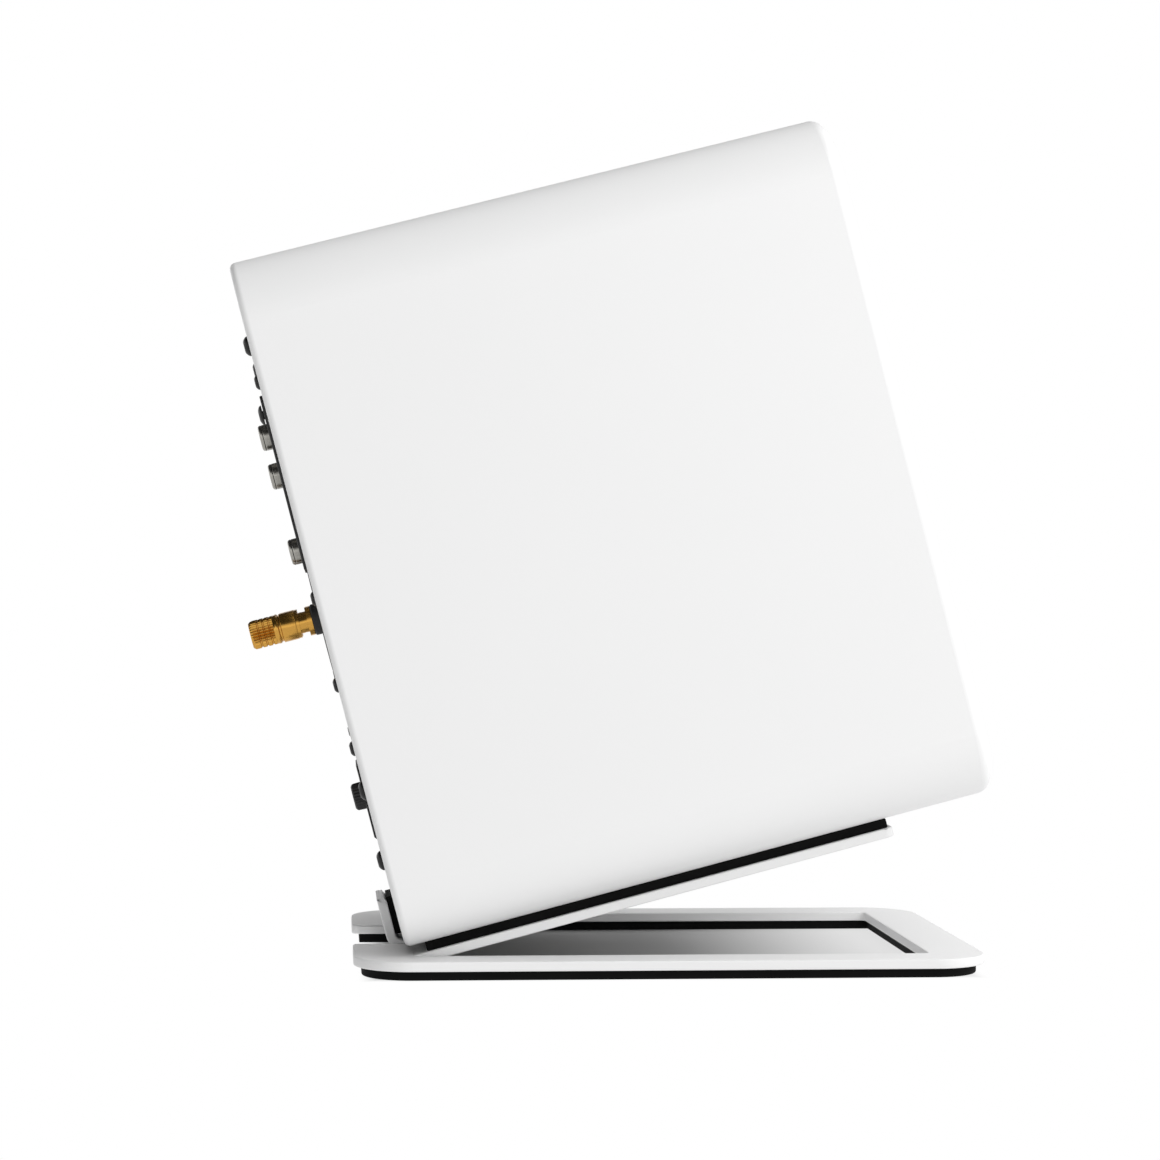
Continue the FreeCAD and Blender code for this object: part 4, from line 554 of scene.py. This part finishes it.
# The shell is a tube with a rolled mouth; the insert is a plug with the centre hole in it
def makeJacks():
    j = jack
    mouth, bore = -j["reach"], j["insert"] + j["fit"]
    shell = softened([
        (j["well"], j["radius"]), (mouth + j["bandAt"] + j["bandHalf"], j["radius"]),
        (mouth + j["bandAt"], j["radius"] - j["bandDepth"]),
        (mouth + j["bandAt"] - j["bandHalf"], j["radius"]),
        (mouth + j["lipStart"], j["radius"]),
        (mouth + j["lipMiddle"], j["radius"] - j["lipMiddle"]),
        (mouth, j["radius"] - j["lipDrop"]), (mouth, bore), (j["depth"], bore),
        (j["depth"], j["tail"]), (j["well"], j["tail"])], j["edge"])
    insert = softened([
        (mouth + j["sunk"], j["pinHole"]), (mouth + j["sunk"], j["insert"]),
        (j["depth"], j["insert"]), (j["depth"], axisRadius)], j["insertEdge"])
    insert = np.vstack([insert, [(j["holeDepth"], axisRadius), (j["holeDepth"], j["pinHole"])]])
    addPiece("lineJackShells", [(leaned(turned(shell, j["across"], spot)), True)
                                for spot in j["spots"]],
             finishes["nickel"], "loudspeaker", ("jack_shells",))
    addPiece("lineJackInserts", [(leaned(turned(insert, j["across"], spot)), True)
                                 for spot in j["spots"]],
             finishes["abs"], "loudspeaker", ("jack_inserts",))


makeJacks()
print("line jacks made")


front = 190.0
woofer = dict(above=84.0, edge=-3.0, outer=46.2, inner=37.1, middle=41.25, rollRadius=3.4,
              rise=3.2, skin=0.7, lift=0.3, coneRim=37.0, neck=-17.0, coil=13.0, bow=1.6,
              capRim=14.6, capRise=5.8, capBack=-15.07, pulp=1.0, capSkin=0.8, capTaper=0.97)


# Surround: flat flange, then along = edge + lift + rise sin q and r = middle + roll cos q for a
# half turn of q, then the inner flange; the back is the same line moved back by the skin
def makeSurround():
    w = woofer
    q = np.linspace(0, np.pi, profileRows["roll"])
    flange = w["edge"] + w["lift"]
    roll = np.stack([flange + w["rise"] * np.sin(q),
                     w["middle"] + w["rollRadius"] * np.cos(q)], -1)
    line = np.vstack([[(flange, w["outer"])], roll, [(flange, w["inner"])]])
    line = line + np.array([w["skin"] / 2, 0])
    back = line - np.array([w["skin"], 0])
    grid = turned(np.vstack([line, back[::-1]]), 0, w["above"], front, facets["driver"])
    addPiece("wooferSurround", [(leaned(grid), True)], finishes["butyl"], "loudspeaker",
             ("woofer_surround",))


# Cone: r runs from the coil to the rim and along = neck + (edge - neck) s + bow sin(pi s); the
# dust cap is capBack + rise (1 - (r / rim)^2), both with a back one skin behind
def makeCone():
    w = woofer
    s = np.linspace(0, 1, profileRows["cone"])
    r = w["coil"] + (w["coneRim"] - w["coil"]) * s
    a = w["neck"] + (w["edge"] - w["neck"]) * s - w["bow"] * np.sin(np.pi * s)
    face = np.stack([a + w["pulp"], r], -1)
    back = np.stack([a, r], -1)[::-1]
    grid = turned(np.vstack([face, back]), 0, w["above"], front, facets["driver"])
    addPiece("wooferCone", [(leaned(grid), True)], finishes["pulp"], "woofer_moving",
             ("woofer_cone",))
    r = w["capRim"] * np.sin(np.linspace(0, np.pi / 2, profileRows["cap"]))
    a = w["capBack"] + w["capRise"] * (1 - (r / w["capRim"]) ** 2)
    face = np.stack([a, r], -1)[::-1]
    back = np.stack([a - w["capSkin"], r * w["capTaper"]], -1)
    grid = turned(np.vstack([face, back]), 0, w["above"], front, facets["dome"])
    addPiece("wooferDustCap", [(leaned(grid), False)], finishes["pulp"], "woofer_moving",
             ("dust_cap",))


tweeter = dict(above=174.0, radius=29.0, thickness=3.0, throat=13.7, flareEdge=20.5, flareDepth=2.2,
               dome=12.5, domeBase=-2.4, domeRise=4.0, silk=0.5,
               silkTaper=0.96, edge=0.5)


# Plate: a disc whose mouth is along = -depth (1 - g)^2 as r = throat + (edge - throat) g, a
# shallow horn; the dome is base + rise (1 - (r / radius)^2) with a rolled rim
def makeTweeter():
    t = tweeter
    rim = softened([(-t["thickness"], t["throat"]), (-t["thickness"], t["radius"]),
                    (0, t["radius"]), (0, t["flareEdge"])], t["edge"])
    g = np.linspace(1, 0, profileRows["mouth"])
    mouth = np.stack([-t["flareDepth"] * (1 - g) ** 2,
                      t["throat"] + (t["flareEdge"] - t["throat"]) * g], -1)
    grid = turned(np.vstack([rim, mouth[1:]]), 0, t["above"], front, facets["driver"])
    addPiece("tweeterHorn", [(leaned(grid), True)], finishes["abs"], "loudspeaker",
             ("tweeter_plate",))
    r = t["dome"] * np.sin(np.linspace(0, np.pi / 2, profileRows["cap"]))
    a = t["domeBase"] + t["domeRise"] * (1 - (r / t["dome"]) ** 2)
    face = np.stack([a, r], -1)[::-1]
    back = np.stack([np.maximum(a - t["silk"], t["domeBase"]), r * t["silkTaper"]], -1)
    grid = turned(np.vstack([face, back]), 0, t["above"], front, facets["dome"])
    addPiece("tweeterDome", [(leaned(grid), False)], finishes["silk"], "tweeter_moving",
             ("tweeter_dome",))


makeSurround()
makeCone()
makeTweeter()
print("drivers made")


dial = dict(across=48.0, above=22.0, gap=1.6, length=11.0, radius=8.95, shaft=3.05, dish=0.25,
            rim=0.9, teeth=60, toothDepth=0.3, dotRadius=0.9, dotPlace=5.6, dotProud=0.08,
            dotDepth=0.3, chamfer=0.4, gripStart=1.6, gripEnd=2.0, taper=0.1, faceEdge=0.6,
            capDepth=2.9, edge=0.5, gripGap=0.1, ridgeReach=0.05, dotEdge=0.06)
light = dict(above=16.0, radius=1.55, flange=2.6, back=19.0, neck=15.0,
             dome=[(0.05, 1.0), (0.28, 0.8), (0.38, 0.45), (0.4, 0.0)])


# Dial: a turned cap with a straight-knurled skirt and a dished face, with a dot near its rim
def makeDial():
    d = dial
    end = d["gap"] + d["length"]
    face = end - d["dish"]
    start, stop = d["gap"] + d["gripStart"], end - d["gripEnd"]
    side = d["radius"] - d["taper"]
    flat = d["radius"] - d["faceEdge"]
    skirt = np.array([(d["gap"], d["shaft"]), (d["gap"], d["radius"] - d["chamfer"]),
                      (d["gap"] + d["chamfer"], d["radius"]), (start - d["gripGap"], d["radius"])])
    grip = np.array([(start, d["radius"]), (stop, side)])
    crown = softened([(stop + d["gripGap"], side), (end, flat), (end, flat - d["rim"]),
                      (face, flat - d["rim"] - d["chamfer"]), (face, axisRadius)], d["edge"])
    inside = np.array([(end - d["capDepth"], axisRadius), (end - d["capDepth"], d["shaft"])])
    grid = turned(np.vstack([skirt, grip, crown, inside]), d["across"], d["above"], front,
                  d["teeth"] * facets["dialTooth"],
                  dict(low=start - d["ridgeReach"], high=stop + d["ridgeReach"],
                       depth=d["toothDepth"], teeth=d["teeth"]))
    addPiece("volumeDialCap", [(leaned(grid), True)], finishes["whiteAbs"], "dial",
             ("volume_dial",))
    dot = softened([(face - d["dotDepth"], axisRadius), (face - d["dotDepth"], d["dotRadius"]),
                    (face + d["dotProud"], d["dotRadius"]), (face + d["dotProud"], axisRadius)],
                   d["dotEdge"], 3)
    grid = turned(dot, d["across"], d["above"] + d["dotPlace"], front, facets["dot"])
    addPiece("volumeDialDot", [(leaned(grid), False)], finishes["abs"], "dial")


# Light pipe: a rod with a domed end and a flange behind the front panel
def makeLight():
    rod = [(-light["back"], 0), (-light["back"], light["flange"]),
           (-light["neck"], light["flange"]), (-light["neck"], light["radius"])]
    rod += [(reach, light["radius"] * share) for reach, share in light["dome"]]
    grid = turned(rod, 0, light["above"], front, facets["light"])
    addPiece("statusLightPipe", [(leaned(grid), False)], finishes["lens"], "loudspeaker",
             ("status_light",))


makeDial()
makeLight()
print("front controls made")


port = dict(across=27.0, above=104.0, radius=14.0, wall=2.0, flange=18.0, flare=8.0, lip=2.8,
            rim=1.0, length=90.0, flareMost=0.985, edge=0.4)
knob = dict(across=-30.0, above=47.3, radius=4.4, shaft=2.98, back=-0.6, reach=4.3, inner=6.8,
            teeth=24, toothDepth=0.35, chamfer=0.2, edgeWidth=0.5, nose=0.8, noseMiddle=0.4,
            taper=0.1, noseDrop=0.35, noseEnd=0.9, ridgeReach=0.1, ridgeDrop=0.4)
blades = dict(across=8.0, above=43.2, spots=((-7, -1.6), (0, 2.4), (7, -1.6)), width=2.0,
              height=4.0, tip=1.5, root=15.0, radius=0.45)
contacts = dict(across=34.0, above=164.7, spacing=2.4, count=4, width=1.2, length=6.0, start=1.2,
                low=0.1, high=0.15, radius=0.05)


# Port: r = radius + lip (1 - sqrt(1 - g^2)) over the flare, g from 0 inside to nearly 1 outside
def makePort():
    p = port
    g = np.linspace(0, p["flareMost"], profileRows["flare"])
    flare = np.stack([p["flare"] - p["rim"] - g * p["flare"],
                      p["radius"] + p["lip"] * (1 - np.sqrt(1 - g ** 2))], -1)
    rest = softened([(flare[-1][0], flare[-1][1]), (-p["rim"], p["flange"]), (0, p["flange"]),
                     (0, p["radius"] + p["wall"]), (p["length"], p["radius"] + p["wall"]),
                     (p["length"], p["radius"])], p["edge"])
    grid = turned(np.vstack([flare, rest[1:]]), p["across"], p["above"], 0, facets["port"])
    addPiece("bassPortFlare", [(leaned(grid), True)], finishes["abs"], "loudspeaker",
             ("bass_port",))


# Level knob: a small turned cap with a straight-knurled edge on its shaft
def makeKnob():
    k = knob
    tip, rim = -k["reach"], k["radius"]
    rows = [(k["inner"], 0), (k["inner"], k["shaft"]), (k["back"], k["shaft"]),
            (k["back"], rim - k["chamfer"]), (k["back"] - k["chamfer"], rim),
            (k["back"] - k["edgeWidth"], rim), (tip + k["nose"], rim - k["taper"]),
            (tip + k["noseMiddle"], rim - k["noseDrop"]), (tip, rim - k["noseEnd"]), (tip, 0)]
    grid = turned(rows, k["across"], k["above"], 0, k["teeth"] * facets["knobTooth"],
                  dict(low=tip + k["nose"] - k["ridgeReach"], high=k["back"] - k["ridgeDrop"],
                       depth=k["toothDepth"], teeth=k["teeth"]))
    addPiece("levelKnobCap", [(leaned(grid), False)], finishes["abs"], "level",
             ("level_knob",))


def makeSocketMetal():
    b = blades
    grids = []
    for side, lift in b["spots"]:
        low = (b["tip"], b["across"] + side - b["width"] / 2, b["above"] + lift - b["height"] / 2)
        high = (b["root"], b["across"] + side + b["width"] / 2, b["above"] + lift + b["height"] / 2)
        grids.append((leaned(roundedBlock(low, high, b["radius"])), False))
    addPiece("inletBlades", grids, finishes["nickel"], "loudspeaker",
             ("inlet_blades",))
    c = contacts
    grids = []
    for n in range(c["count"]):
        middle = c["across"] + (n - (c["count"] - 1) / 2) * c["spacing"]
        low = (c["start"], middle - c["width"] / 2, c["above"] - c["low"])
        high = (c["start"] + c["length"], middle + c["width"] / 2, c["above"] + c["high"])
        grids.append((leaned(roundedBlock(low, high, c["radius"], 3)), False))
    addPiece("dataSocketContacts", grids, finishes["gold"], "loudspeaker")


makePort()
makeKnob()
makeSocketMetal()
print("back of the cabinet made")
